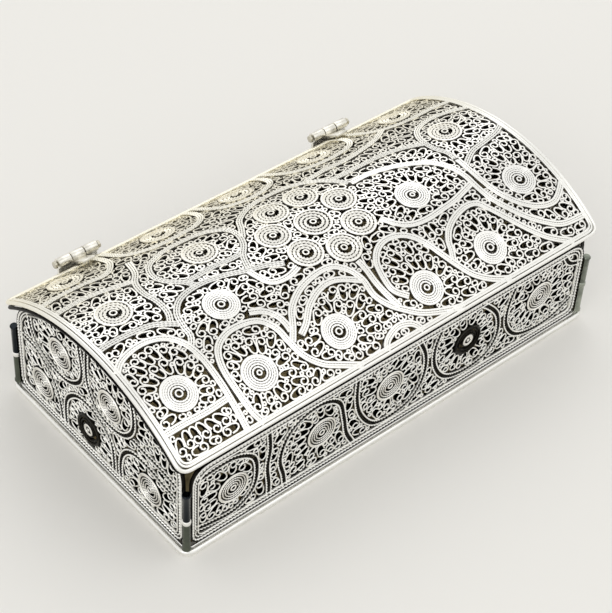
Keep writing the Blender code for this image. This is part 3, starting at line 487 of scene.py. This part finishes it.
class Ground:
    """The free ground between a panel's border, bands and rosettes, as a fine grid."""

    pitch = 0.14 * MM

    def __init__(self, panel, bands, discs):
        us = np.arange(0, panel.length + self.pitch, self.pitch)
        vs = np.arange(0, panel.height + self.pitch, self.pitch)
        self.u, self.v = np.meshgrid(us, vs)
        spots = np.stack([self.u.ravel(), self.v.ravel()], axis=1)
        self.free = inside(spots, panel.edge(border_width)[::2]).reshape(self.u.shape)
        for band in bands:
            for spot in band:
                self.cover_disc(spot, band_width / 2)
        for centre, radius in discs:
            self.cover_disc(centre, radius)

    def window(self, spot, reach):
        """The part of the grid near a spot."""
        column, row = (int(value / self.pitch) for value in spot)
        span = int(reach / self.pitch) + 2
        return (slice(max(0, row - span), row + span), slice(max(0, column - span), column + span))

    def cover_disc(self, spot, radius):
        near = self.window(spot, radius)
        self.free[near] &= (self.u[near] - spot[0]) ** 2 + (self.v[near] - spot[1]) ** 2 > radius ** 2

    def has_room(self, starts, along, length, width):
        """For each start and direction, whether a curl of that size lies on free ground."""
        across = np.stack([-along[:, 1], along[:, 0]], axis=1)
        row_count, column_count = self.free.shape
        room = np.ones(len(starts), bool)
        for out, side in CURL_OUTLINE:
            spots = starts + along * (out * length) + across * (side * width)
            columns = np.rint(spots[:, 0] / self.pitch).astype(int)
            rows = np.rint(spots[:, 1] / self.pitch).astype(int)
            on = (columns >= 0) & (rows >= 0) & (columns < column_count) & (rows < row_count)
            room &= on
            room[on] &= self.free[rows[on], columns[on]]
        return room

    def cover_curl(self, start, along, length, width):
        near = self.window(start + along * length / 2, length)
        out = ((self.u[near] - start[0]) * along[0] + (self.v[near] - start[1]) * along[1]) / length
        side = (-(self.u[near] - start[0]) * along[1] + (self.v[near] - start[1]) * along[0]) / width
        half = np.interp(out, CURL_STATIONS, CURL_HALVES, left=-1, right=-1)
        self.free[near] &= np.abs(side) > half - COVER_SHARE


# Lengths and widths of the curls: those fanned round a rosette, and the loose ones in what is left,
# which are tried at each of the loose turns, in degrees from the way that leads off the nearest rosette.
fanned_sizes = ((4.5 * MM, 2.5 * MM), (3.9 * MM, 2.4 * MM), (3.3 * MM, 2.2 * MM), (2.7 * MM, 1.95 * MM),
                (2.1 * MM, 1.65 * MM))
loose_sizes = ((4.6 * MM, 2.5 * MM), (3.9 * MM, 2.3 * MM), (3.2 * MM, 2.05 * MM), (2.6 * MM, 1.8 * MM),
               (2.0 * MM, 1.55 * MM), (1.6 * MM, 1.3 * MM), (1.2 * MM, 1.1 * MM))
loose_turns = (20, -35, 190, 150, 75, -80, 0, 110, -120, 230)
loose_grid = 0.42 * MM
fan_spacing = 2.35 * MM
fan_stray_share = 0.3
widest_plain_curl = 1.7 * MM


def curls_on(panel, bands, discs, fineness):
    """Where the filler curls lie: a fan of them round each rosette, and loose ones in what is left."""
    ground = Ground(panel, bands, discs)
    laid = []

    def lay(start, along, size, hand):
        ground.cover_curl(start, along, *size)
        laid.append((start, along, *size, hand))

    centres = np.array([centre for centre, radius in discs])
    for number, (centre, radius) in enumerate(discs):
        hand = 1 if number % 2 else -1
        count = round(2 * math.pi * (radius + fan_spacing) / (fan_spacing * fineness))
        for index in range(count):
            turn = 2 * math.pi * (index + fan_stray_share * math.sin(5.0 * index + number)) / count
            along = np.array((math.cos(turn), math.sin(turn)))
            start = centre + along * radius
            for length, width in fanned_sizes[index % 2:]:
                size = (length * fineness, width * fineness)
                if ground.has_room(start[None], along[None], *size)[0]:
                    lay(start, along, size, hand)
                    break
    us, vs = np.meshgrid(np.arange(0, panel.length, loose_grid), np.arange(0, panel.height, loose_grid))
    starts = np.stack([us.ravel(), vs.ravel()], axis=1)
    reach = starts[:, None] - centres[None]
    gaps = np.linalg.norm(reach, axis=2)
    nearest = gaps.argmin(axis=1)
    away = reach[np.arange(len(starts)), nearest]
    gaps = gaps[np.arange(len(starts)), nearest]
    away /= np.maximum(gaps, 1e-9)[:, None]
    order = np.argsort(gaps, kind="stable")
    starts, away = starts[order], away[order]
    for length, width in loose_sizes:
        size = (length * fineness, width * fineness)
        for turn in loose_turns:
            turned_by = np.array(Matrix.Rotation(math.radians(turn), 2))
            along = away @ turned_by.T
            for index in np.where(ground.has_room(starts, along, *size))[0]:
                if ground.has_room(starts[index:index + 1], along[index:index + 1], *size)[0]:
                    lay(starts[index], along[index], size, 1 if index % 2 else -1)
    return laid


def curl_route(start, along, length, width, hand, strip):
    """One comma curl: down to a round foot and up again, round the head and coiled in to an eye."""
    head = (width - strip) / 2
    centre = length - width / 2
    places = [(centre * 0.72, head * 0.95), (centre * 0.36, head * 0.86),
              (strip / 2 + centre * 0.06, head * 0.48), (strip / 2, -head * 0.1),
              (strip / 2 + centre * 0.1, -head * 0.58), (centre * 0.45, -head * 0.92)]
    coil = [(-75, 1.0), (-30, 1.0), (15, 1.0), (60, 1.0), (105, 0.98)]
    if width > widest_plain_curl:
        coil += [(150, 0.82), (195, 0.62), (245, 0.47), (305, 0.4)]
    places += [(centre + head * reach * math.cos(math.radians(turn)),
                head * reach * math.sin(math.radians(turn))) for turn, reach in coil]
    across = np.array((-along[1], along[0])) * hand
    return np.array([start + along * out + across * side for out, side in places])


ring_wire = 0.5 * MM
eye_wire = 0.4 * MM
eye_gap = 0.2 * MM
coil_height = 1.1 * MM
coil_drop = 0.03 * MM
ring_sides = 28


def rosette_parts(centre, radius, eye, coil_width=0.53 * MM, coil_pitch=0.58 * MM, closing=0.85,
                  ease=strand_ease, swell=twist, step=twist_step):
    """A coil of twisted wire between a smooth ring round it and a small ring in its eye.

    With a closing share below one, the turns lie looser round the eye and closer towards the ring.
    """
    ring = np.linspace(0, 2 * math.pi, ring_sides + 1)[:-1]
    circle = np.stack([np.cos(ring), np.sin(ring)], axis=1)
    start, end = eye + eye_gap + coil_width / 2, radius - ring_wire / 2
    turns = max(1, round((end - start) / coil_pitch))
    angles, angle = [], 0.0
    while angle < turns * 2 * math.pi:
        angles.append(angle)
        angle += step / (start + (end - start) * angle / (turns * 2 * math.pi))
    angles = np.array(angles)
    reach = start + (end - start) * (angles / (turns * 2 * math.pi)) ** closing
    coil = centre + np.stack([np.cos(angles), np.sin(angles)], axis=1) * reach[:, None]
    return [
        drawn([centre + circle * (eye - eye_wire / 2)], strip_section(eye_wire, coil_height, ease),
              strand_level, closed=True),
        drawn([coil], strip_section(coil_width, coil_height, ease), strand_level - coil_drop,
              swell=swell),
        drawn([centre + circle * (radius - ring_wire / 2)], strip_section(ring_wire, coil_height, ease),
              strand_level, closed=True)]


def border_parts(panel, wires):
    """The border wires, each with its distance from the edge, section, level and swelling."""
    return [drawn([panel.edge(inset, coarse_step if swell else edge_step)], section, level, closed=True,
                  swell=swell) for inset, section, level, swell in wires]


def band_parts(bands, shifts, section, level, swell=None, step=strand_step):
    """The strands of the bands, side by side."""
    routes = [beside(evenly(band, step), shift) for band in bands for shift in shifts]
    return [drawn(routes, section, level, swell=swell)]


filler_height = 1.4 * MM
filler_level = -1.2 * MM


def filled(panel, bands, discs, metal, body, strip, ease, fineness):
    """Fills a panel's free ground with curls."""
    routes = [curl_route(*curl, strip) for curl in curls_on(panel, bands, discs, fineness)]
    fill = drawn(routes, strip_section(strip, filler_height, ease), filler_level)
    soldered(f"{panel.name}_filler_curls", [fill], panel.place, metal, body, "oxidised_silver_web",
             f"{panel.name}_filigree")


LONG_BAND_SHARES = (
    ((0, 0.82), (0.05, 0.86), (0.1, 0.85), (0.14, 0.72), (0.15, 0.5), (0.14, 0.27), (0.1, 0.13),
     (0.045, 0.15), (0, 0.2)),
    ((0.22, 0), (0.215, 0.2), (0.205, 0.45), (0.22, 0.7), (0.255, 0.85), (0.305, 0.88),
     (0.345, 0.76), (0.36, 0.5), (0.37, 0.25), (0.395, 0)),
    ((0.175, 1), (0.18, 0.7), (0.175, 0.45), (0.18, 0.2), (0.18, 0)),
    ((0.39, 1), (0.39, 0.65), (0.405, 0.38), (0.44, 0.16), (0.49, 0.12), (0.54, 0.2),
     (0.565, 0.42), (0.565, 0.7), (0.54, 1)),
    ((0.61, 1), (0.59, 0.72), (0.595, 0.45), (0.625, 0.22), (0.675, 0.13), (0.735, 0.17),
     (0.765, 0.36), (0.76, 0.65), (0.73, 0.86), (0.695, 1)),
    ((0.81, 1), (0.79, 0.72), (0.79, 0.45), (0.82, 0.22), (0.87, 0.13), (0.93, 0.14), (1, 0.3)),
    ((0.935, 1), (0.96, 0.8), (1, 0.72)))
END_BAND_SHARES = (
    ((0, 0.5), (0.11, 0.49), (0.185, 0.42), (0.235, 0.32), (0.26, 0.2), (0.27, 0.08), (0.275, 0)),
    ((0.3, 0), (0.295, 0.15), (0.31, 0.3), (0.37, 0.41), (0.445, 0.435), (0.52, 0.4),
     (0.58, 0.3), (0.595, 0.15), (0.595, 0)),
    ((0.085, 0.74), (0.1, 0.62), (0.15, 0.53), (0.235, 0.47), (0.32, 0.475), (0.39, 0.56),
     (0.415, 0.68), (0.405, 0.85), (0.395, 1)),
    ((0.455, 1), (0.445, 0.8), (0.45, 0.62), (0.5, 0.48), (0.575, 0.44), (0.66, 0.48),
     (0.715, 0.6), (0.72, 0.76), (0.69, 0.95)),
    ((0.64, 0), (0.635, 0.16), (0.655, 0.3), (0.71, 0.39), (0.805, 0.405), (0.895, 0.38),
     (1, 0.36)),
    ((0.72, 0.52), (0.785, 0.51), (0.88, 0.5), (1, 0.47)))
wall_corner = 5.5 * MM
wall_foot = 2.6 * MM
arch_radius = 52.2 * MM
wall_rosette_count = 5
wall_ease = 0.16 * MM
wall_filler_width = 0.37 * MM
wall_fineness = 1.08
wall_eye = 0.9 * MM
wall_coil_width, wall_coil_pitch = 0.4 * MM, 0.66 * MM

# Strips of the walls: white on top, and black from a little way down, as painted shade in the depth.
wall_filler = silver("filler_silver_strip_dulled", "#FEFDF8", "#12110E", 0.34, patches=(5.0, 0.1),
                     sunk=(1.0, 0.67, 0.8))
# Coils of the walls, painted black between their turns as painted shade.
wall_coil = silver("coiled_silver_wire_dulled", "#FEFCF6", "#12110E", 0.34, patches=(7.0, 0.12),
                   sunk=(1.0, 0.29, 0.42))
# Wire that is black all over: the seams, which are dark joints, and the band cores and the blackened
# rosettes, whose black is painted shade.
black_wire = silver("oxidised_silver_wire", "#2B2924", "#100F0E", 0.34, patches=(5.0, 0.8),
                    sunk=(0.8, 0.6, 1.2))

# Border wires: the distance from the edge, the section, the level of its middle, and the widths in turn.
wall_edge_wires = ((0.52 * MM, strip_section(0.56 * MM, 1.2 * MM, 0.2 * MM), -0.65 * MM, (1.0, 0.62)),)
wall_seam = ((0.12 * MM, strip_section(0.2 * MM, 1.0 * MM), -0.75 * MM, None),)
wall_inner_wires = ((1.24 * MM, strip_section(0.4 * MM, 1.1 * MM, wall_ease), -0.75 * MM, coarse_twist),
                    (1.92 * MM, strip_section(0.34 * MM, 1.1 * MM, wall_ease), -0.7 * MM, None))

# Bands: a twisted strip along each side, and two rough black ones between them, black as painted shade.
band_edge_shift, band_core_shift = 0.68 * MM, 0.22 * MM
band_core_level = -0.85 * MM
band_edge_section = strip_section(0.42 * MM, 1.1 * MM, wall_ease)
band_core_section = strip_section(0.36 * MM, 1.0 * MM, strand_ease)


def wall_place(corner, along, outwards):
    """Puts a flat panel upright, from its lower left corner as seen from outside."""
    axes = np.array([along, (0, 0, 1), outwards])
    return lambda flat: np.array(corner) + flat @ axes


front_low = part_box("front_scroll_frame")[0]
back_low, back_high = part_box("back_scroll_frame")
left_low, left_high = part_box("left_end_scroll_frame")
right_low, right_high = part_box("right_end_scroll_frame")
# One rosette of each wall is painted black, as painted shade, but for a bright heart.
rosettes_painted_dark = (("front", 4), ("left_end", 3), ("right_end", 3), ("back", 2))
heart_share = 0.48
walls = (
    ("front", (front_low.x, front_low.y, front_low.z), (1, 0, 0), (0, -1, 0), None),
    ("back", (back_high.x, back_high.y, back_low.z), (-1, 0, 0), (0, 1, 0), None),
    ("left_end", (left_low.x, left_high.y, left_low.z), (0, -1, 0), (-1, 0, 0), arch_radius),
    ("right_end", (right_high.x, right_low.y, right_low.z), (0, 1, 0), (1, 0, 0), arch_radius))
for name, corner, along, outwards, arch in walls:
    low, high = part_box(f"{name}_scroll_frame")
    length = abs((high - low).dot(Vector(along)))
    place = wall_place(corner, along, outwards)
    panel = Panel(name, length, high.z - low.z, wall_corner, wall_foot, place, arch)
    discs = []
    for number in range(1, wall_rosette_count + 1):
        low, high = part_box(f"{name}_rosette_{number}")
        offset = (low + high) / 2 - Vector(corner)
        discs.append((np.array((offset.dot(Vector(along)), offset.z)), (high.z - low.z) / 2))
    bands = bands_on(panel, END_BAND_SHARES if arch else LONG_BAND_SHARES, discs)
    soldered(f"{name}_border_wire", border_parts(panel, wall_edge_wires), place, bright_wire, "base",
             "bright_silver_wire", f"{name}_scroll_frame")
    # The inner border wires and the band edges take the wall strips' painted shade in the depth.
    painted_shade_wires = border_parts(panel, wall_inner_wires)
    painted_shade_wires += band_parts(bands, (-band_edge_shift, band_edge_shift), band_edge_section, strand_level,
                       coarse_twist, coarse_step)
    soldered(f"{name}_inner_wires", painted_shade_wires, place, wall_filler, "base", "bright_silver_wire")
    black = border_parts(panel, wall_seam)
    black += band_parts(bands, (-band_core_shift, band_core_shift), band_core_section, band_core_level,
                        knotted, coarse_step)
    soldered(f"{name}_seam_and_cores", black, place, black_wire, "base", "oxidised_silver_web")
    filled(panel, bands, discs, wall_filler, "base", wall_filler_width, wall_ease, wall_fineness)
    for number, (centre, radius) in enumerate(discs, 1):
        metal, eye = wall_coil, wall_eye
        if (name, number) in rosettes_painted_dark:
            metal, eye = black_wire, radius * heart_share
            heart = rosette_parts(centre, eye - wall_eye / 2, wall_eye / 2)
            soldered(f"{name}_coil_{number}_heart", heart, place, wall_coil, "base",
                     "white_silver_coils")
        coil = rosette_parts(centre, radius, eye, wall_coil_width, wall_coil_pitch, 1.0, wall_ease)
        soldered(f"{name}_coil_{number}", coil, place, metal, "base", "white_silver_coils",
                 f"{name}_rosette_{number}")


# Lid: one openwork sheet made flat like the walls and then bent over a round former. Its outer border
# wire is heavier, a second wire runs under it, and a flower of eight coils sits a little off its middle.
LID_BAND_SHARES = (
    ((0, 0.345), (0.03, 0.395), (0.075, 0.415), (0.115, 0.4), (0.14, 0.355), (0.15, 0.29),
     (0.151, 0.19), (0.149, 0.1), (0.147, 0)),
    ((0, 0.13), (0.05, 0.132), (0.1, 0.13), (0.155, 0.135)),
    ((0.185, 0), (0.172, 0.06), (0.168, 0.14), (0.17, 0.22), (0.185, 0.28), (0.215, 0.31),
     (0.25, 0.312), (0.28, 0.295), (0.298, 0.25), (0.303, 0.19), (0.312, 0.13), (0.335, 0.08),
     (0.37, 0.045), (0.42, 0)),
    ((0.3, 0.165), (0.326, 0.225), (0.348, 0.28), (0.385, 0.322), (0.43, 0.342), (0.465, 0.338),
     (0.488, 0.3), (0.498, 0.25), (0.497, 0.19), (0.51, 0.14), (0.533, 0.1), (0.56, 0.065),
     (0.598, 0.038), (0.64, 0.018), (0.69, 0)),
    ((0.33, 0.19), (0.352, 0.215), (0.378, 0.258), (0.41, 0.287), (0.44, 0.296), (0.468, 0.28),
     (0.505, 0.235)),
    ((0.455, 0), (0.468, 0.04), (0.495, 0.062), (0.515, 0.062), (0.535, 0.045), (0.55, 0)),
    ((0.556, 0.13), (0.536, 0.17), (0.535, 0.22), (0.545, 0.28), (0.57, 0.32), (0.6, 0.33),
     (0.63, 0.31), (0.652, 0.26), (0.665, 0.2), (0.68, 0.14), (0.7, 0.085), (0.735, 0.04),
     (0.79, 0)),
    ((0.512, 0.355), (0.517, 0.29), (0.516, 0.22), (0.521, 0.16), (0.533, 0.09)),
    ((0.64, 0.6), (0.68, 0.6), (0.72, 0.585), (0.76, 0.555), (0.795, 0.515), (0.817, 0.46),
     (0.826, 0.4), (0.827, 0.34), (0.833, 0.28), (0.85, 0.22), (0.872, 0.165), (0.9, 0.12),
     (0.935, 0.085), (1, 0.075)),
    ((0.67, 0.13), (0.688, 0.19), (0.695, 0.22), (0.712, 0.255), (0.74, 0.283), (0.775, 0.298),
     (0.8, 0.288), (0.815, 0.25), (0.828, 0.21), (0.845, 0.16), (0.868, 0.105), (0.895, 0.06),
     (0.95, 0)),
    ((0.845, 0.47), (0.845, 0.4), (0.848, 0.33), (0.86, 0.265), (0.882, 0.212), (0.912, 0.175),
     (0.945, 0.165), (0.972, 0.19), (1, 0.23)),
    ((0.838, 0.42), (0.862, 0.45), (0.89, 0.475), (0.93, 0.487), (0.965, 0.5), (1, 0.53)),
    ((0.604, 0.45), (0.616, 0.41), (0.632, 0.365), (0.655, 0.335), (0.69, 0.325), (0.73, 0.33),
     (0.77, 0.338), (0.84, 0.37)),
    ((0.145, 0.32), (0.161, 0.36), (0.163, 0.4), (0.172, 0.455), (0.198, 0.497), (0.24, 0.512),
     (0.29, 0.5), (0.33, 0.475), (0.37, 0.455), (0.4, 0.43)),
    ((0.276, 0.335), (0.3, 0.315), (0.315, 0.28), (0.319, 0.24), (0.316, 0.18)),
    ((0.332, 0.5), (0.338, 0.44), (0.352, 0.39), (0.385, 0.38), (0.425, 0.4)),
    ((0, 0.462), (0.04, 0.47), (0.09, 0.466), (0.128, 0.452), (0.18, 0.39)),
    ((0.145, 0.42), (0.16, 0.47), (0.163, 0.53), (0.158, 0.59), (0.165, 0.65), (0.185, 0.7),
     (0.2, 0.78)),
    ((0, 0.69), (0.05, 0.7), (0.1, 0.695), (0.18, 0.655)),
    ((0.25, 0.49), (0.228, 0.55), (0.207, 0.59), (0.199, 0.64), (0.215, 0.7), (0.255, 0.735),
     (0.3, 0.742), (0.345, 0.73), (0.378, 0.69), (0.386, 0.64), (0.375, 0.58), (0.352, 0.53),
     (0.335, 0.45)),
    ((0.215, 0.545), (0.255, 0.548), (0.3, 0.551), (0.335, 0.545), (0.375, 0.55)),
    ((0.375, 0.58), (0.402, 0.65), (0.42, 0.7), (0.46, 0.742), (0.51, 0.755), (0.56, 0.742),
     (0.597, 0.705), (0.62, 0.66), (0.645, 0.59)),
    ((0.84, 0.44), (0.845, 0.51), (0.834, 0.57), (0.838, 0.64), (0.86, 0.695), (0.9, 0.72),
     (0.945, 0.71), (1, 0.67)),
    ((0.6, 0.67), (0.64, 0.662), (0.69, 0.66), (0.74, 0.658), (0.79, 0.64), (0.84, 0.6)),
    ((0, 0.77), (0.05, 0.785), (0.1, 0.785), (0.15, 0.775), (0.18, 0.83), (0.188, 0.9), (0.19, 1)),
    ((0.21, 1), (0.208, 0.9), (0.22, 0.835), (0.26, 0.795), (0.31, 0.79), (0.36, 0.8),
     (0.388, 0.84), (0.398, 0.91), (0.4, 1)),
    ((0.42, 1), (0.42, 0.9), (0.435, 0.835), (0.47, 0.802), (0.51, 0.8), (0.55, 0.83),
     (0.563, 0.9), (0.565, 1)),
    ((0.585, 1), (0.587, 0.9), (0.605, 0.835), (0.645, 0.8), (0.7, 0.795), (0.745, 0.82),
     (0.765, 0.89), (0.768, 1)),
    ((0.79, 1), (0.792, 0.9), (0.81, 0.835), (0.85, 0.795), (0.9, 0.785), (0.95, 0.785),
     (1, 0.77)),
    ((0.57, 0.72), (0.63, 0.735), (0.69, 0.732), (0.74, 0.745), (0.79, 0.77), (0.84, 0.83)))
lid_rise = 12.4 * MM
lid_low, lid_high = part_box("lid_scroll_frame")
lid_chord = lid_high.y - lid_low.y
lid_radius = ((lid_chord / 2) ** 2 + lid_rise ** 2) / (2 * lid_rise)
lid_half_angle = math.asin(lid_chord / 2 / lid_radius)
lid_arc = 2 * lid_half_angle * lid_radius
vault_z = lid_high.z - lid_radius
lid_corner = 3.0 * MM


def on_lid(flat):
    """Bends a flat sheet over the vault."""
    angle = flat[:, 1] / lid_radius - lid_half_angle
    reach = lid_radius + flat[:, 2]
    return np.stack([flat[:, 0] + lid_low.x, reach * np.sin(angle), vault_z + reach * np.cos(angle)],
                    axis=1)


lid = Panel("lid", lid_high.x - lid_low.x, lid_arc, lid_corner, lid_corner, on_lid)
lid_filler_width = 0.4 * MM

# Strips of the lid: white on top, painted shade going dark brown in the depth, yellowed at the back.
filler_wire = silver("filler_silver_strip", "#FCFAF5", "#211E17", 0.33, patches=(9.0, 0.08),
                     sunk=(1.0, 0.55, 1.15), yellowed="#FBF4DC")
# Finely twisted wire of the front coils, the whitest part of the box, with painted shade between turns.
coil_wire = silver("coiled_twisted_silver_wire", "#FCFBF8", "#35322B", 0.34, patches=(9.0, 0.05),
                   sunk=(0.95, 0.4, 1.0))
# Coarser twisted wire of the flower and the back coils, with dark notches that are painted shade.
roped_coil = silver("coiled_coarsely_twisted_silver_wire", "#FDFBF5", "#2B2820", 0.34,
                    patches=(9.0, 0.06), sunk=(0.95, 0.34, 0.75), yellowed="#FAF3DC")
# Bright wire of the bands and the border, like the rim's, with the same painted shade in the depth,
# but yellowed at the back.
lid_wire = silver("bent_silver_wire", "#FAF9F5", "#3B382F", 0.3, patches=(9.0, 0.06), grain=(0.35, 0.02),
                  sunk=(0.95, 0.7, 1.3), yellowed="#FBF6E4")

strand_section = strip_section(strand, strand_height, strand_ease)
lid_wires = ((0.47 * MM, wire_section(0.92 * MM, 1.0 * MM, sides=12), -0.53 * MM, None),
             (1.32 * MM, strand_section, strand_level, None),
             (1.9 * MM, strand_section, strand_level, None))
lid_under_wire = ((0.42 * MM, wire_section(0.8 * MM, 0.8 * MM), -1.78 * MM, None),)

lid_rosette_count = 16
lid_discs = []
for number in range(1, lid_rosette_count + 1):
    low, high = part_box(f"lid_rosette_{number}")
    middle = (low + high) / 2
    angle = math.atan2(middle.y, middle.z - vault_z)
    lid_discs.append((np.array((middle.x - lid_low.x, (angle + lid_half_angle) * lid_radius)),
                      (high.x - low.x) / 2))
flower_middle = np.array((0.511 * lid.length, 0.523 * lid.height))
petal_reach = 0.146 * lid_arc
flower_heart, flower_petal = 0.0638 * lid_arc, 0.0595 * lid_arc
petal_count = 7
first_petal = math.radians(15)
flower = [(flower_middle, flower_heart)]
for petal in range(petal_count):
    turn = first_petal + 2 * math.pi * petal / petal_count
    offset = petal_reach * np.array((math.cos(turn), math.sin(turn)))
    flower.append((flower_middle + offset, flower_petal))
lid_bands = bands_on(lid, LID_BAND_SHARES, lid_discs + flower)

# Up to this height the twist is worn smooth. Further back it stays rough.
smooth_up_to = 0.45 * lid.height
rope = (1.0, 0.66)
worn = [band for band in lid_bands if band[len(band) // 2][1] < smooth_up_to]
roped = [band for band in lid_bands if band[len(band) // 2][1] >= smooth_up_to]
side_strands, middle_strand = (-strand_spacing, strand_spacing), (0.0,)
all_strands = (-strand_spacing, 0.0, strand_spacing)
lid_frame = (border_parts(lid, lid_wires)
             + band_parts(worn, side_strands, strand_section, strand_level)
             + band_parts(worn, middle_strand, strand_section, strand_level, twist, twist_step)
             + band_parts(roped, all_strands, strand_section, strand_level, rope, coarse_step))
soldered("lid_bands_and_border", lid_frame, on_lid, lid_wire, "lid", "bright_silver_wire",
         "lid_scroll_frame")
soldered("lid_under_wire", border_parts(lid, lid_under_wire), on_lid, black_wire, "lid",
         "oxidised_silver_web")
filled(lid, lid_bands, lid_discs + flower, filler_wire, "lid", lid_filler_width, ease=0.0, fineness=1.0)

lid_eyes = (0.85 * MM, 1.0 * MM, 0.75 * MM, 0.95 * MM)
flower_eye = 0.9 * MM
rough_coil = {"coil_width": 0.86 * MM, "coil_pitch": 0.92 * MM, "closing": 1.0, "swell": (1.0, 0.6),
              "step": coarse_step}
for number, (centre, radius) in enumerate(lid_discs, 1):
    eye = lid_eyes[number % len(lid_eyes)]
    is_smooth = centre[1] < smooth_up_to
    coil = rosette_parts(centre, radius, eye, **({} if is_smooth else rough_coil))
    soldered(f"lid_coil_{number}", coil, on_lid, coil_wire if is_smooth else roped_coil, "lid",
             "white_silver_coils", f"lid_rosette_{number}")
flower_parts = [part for centre, radius in flower
                for part in rosette_parts(centre, radius, flower_eye, **rough_coil)]
soldered("lid_flower_coils", flower_parts, on_lid, roped_coil, "lid", "white_silver_coils", "lid_flower")


# Hinges: two of three knuckles each, rolled from strip, on a drawn pin with a burred head. The lower
# leaf stands behind the back wall, and the upper one lies on the lid's border. Edges are filed round.
def eased_copy(node, ease):
    """A copy of a piece of the frame with its sharp edges rounded."""
    shape = bmesh.new()
    shape.from_mesh(nodes[node].data)
    shape.transform(nodes[node].matrix_world)
    bmesh.ops.remove_doubles(shape, verts=shape.verts, dist=weld)
    bmesh.ops.dissolve_limit(shape, angle_limit=math.radians(1), verts=shape.verts, edges=shape.edges)
    sharp = [edge for edge in shape.edges if edge.calc_face_angle(0.0) > solid_sharp]
    bmesh.ops.bevel(shape, geom=sharp, offset=ease, segments=2, profile=0.5, affect="EDGES",
                    clamp_overlap=True)
    bmesh.ops.recalc_face_normals(shape, faces=shape.faces)
    mesh = bpy.data.meshes.new(node)
    shape.to_mesh(mesh)
    shape.free()
    return mesh


# Sheet with file marks, bright on the knuckles, and a pin that has gone dull.
filed_sheet = silver("filed_silver_sheet", "#F4F1E8", "#6A6353", 0.3, patches=(3.0, 0.35),
                     grain=(0.4, 0.03))
dull_pin = silver("dull_silver_pin", "#D6D1C2", "#6A6353", 0.3, patches=(3.0, 0.5), grain=(0.5, 0.02))
leaf_ease = 0.16 * MM
pin_ease = 0.3 * MM
for side in ("left", "right"):
    for leaf, body in (("base_leaf", "base"), ("lid_leaf", "lid")):
        node = f"hinge_{side}_{leaf}"
        finished(f"filed_{node}", eased_copy(node, leaf_ease), filed_sheet, body, "bright_silver_wire",
                 node)
    node = f"hinge_{side}_pin"
    finished(f"burred_{node}", eased_copy(node, pin_ease), dull_pin, "base", "dark_polished_silver",
             node)


# Studio: a floor of pale matt paper, a white surrounding and three soft lamps.
paper = bpy.data.materials.new("pale_studio_paper")
paper.use_nodes = True
paper_shader = paper.node_tree.nodes["Principled BSDF"]
paper_shader.inputs["Base Color"].default_value = linear("#EAE8E4")
paper_shader.inputs["Roughness"].default_value = 0.8

floor_reach = 2.0
shape = bmesh.new()
bmesh.ops.create_grid(shape, x_segments=1, y_segments=1, size=floor_reach)
floor_mesh = bpy.data.meshes.new("studio_floor")
shape.to_mesh(floor_mesh)
shape.free()
floor_mesh.materials.append(paper)
floor = bpy.data.objects.new("studio_floor", floor_mesh)
bpy.context.scene.collection.objects.link(floor)
floor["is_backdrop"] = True

world = bpy.data.worlds.new("studio")
bpy.context.scene.world = world
world.use_nodes = True
sky = world.node_tree.nodes["Background"]
sky.inputs["Color"].default_value = linear("#F4F4F2")
sky.inputs["Strength"].default_value = 0.98

# Soft boxes, with their places in metres and their power in watts, all turned to the middle of the box.
softbox_side = 0.5
middle_of_box = Vector((0, 0, 0.02))
for name, place, power in (("key", (0.25, -0.35, 0.75), 0.5), ("fill", (-0.7, -0.3, 0.45), 0.9),
                           ("rim_light", (0.4, 0.5, 0.6), 0.6)):
    lamp = bpy.data.lights.new(name, "AREA")
    lamp.shape = "SQUARE"
    lamp.size = softbox_side
    lamp.energy = power
    light = bpy.data.objects.new(name, lamp)
    light.location = place
    light.rotation_euler = (middle_of_box - Vector(place)).to_track_quat("-Z", "Y").to_euler()
    bpy.context.scene.collection.objects.link(light)

# Camera: at the photograph's place, above the near corner and turned a little about its own axis. Its
# focal length is in pixels of the photograph, as fitted to the corners of the box.
camera_place = Vector((-0.2197, -0.2367, 0.3208))
focal_pixels, picture_pixels = 1794, 613
sensor_width = 36
azimuth, elevation, roll = math.radians(-42.77), math.radians(43.45), math.radians(3.506)
backwards = Vector((math.sin(azimuth) * math.cos(elevation), -math.cos(azimuth) * math.cos(elevation),
                    math.sin(elevation)))
level = (-backwards).cross(Vector((0, 0, 1))).normalized()
upright = level.cross(-backwards)
rightwards = level * math.cos(roll) + upright * math.sin(roll)
upwards = upright * math.cos(roll) - level * math.sin(roll)
lens = bpy.data.cameras.new("camera")
lens.sensor_width = sensor_width
lens.lens = sensor_width * focal_pixels / picture_pixels
camera = bpy.data.objects.new("camera", lens)
camera.rotation_euler = Matrix((rightwards, upwards, backwards)).transposed().to_euler()
camera.location = camera_place
bpy.context.scene.collection.objects.link(camera)
bpy.context.scene.camera = camera
bpy.context.scene.view_settings.view_transform = "Standard"

low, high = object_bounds()
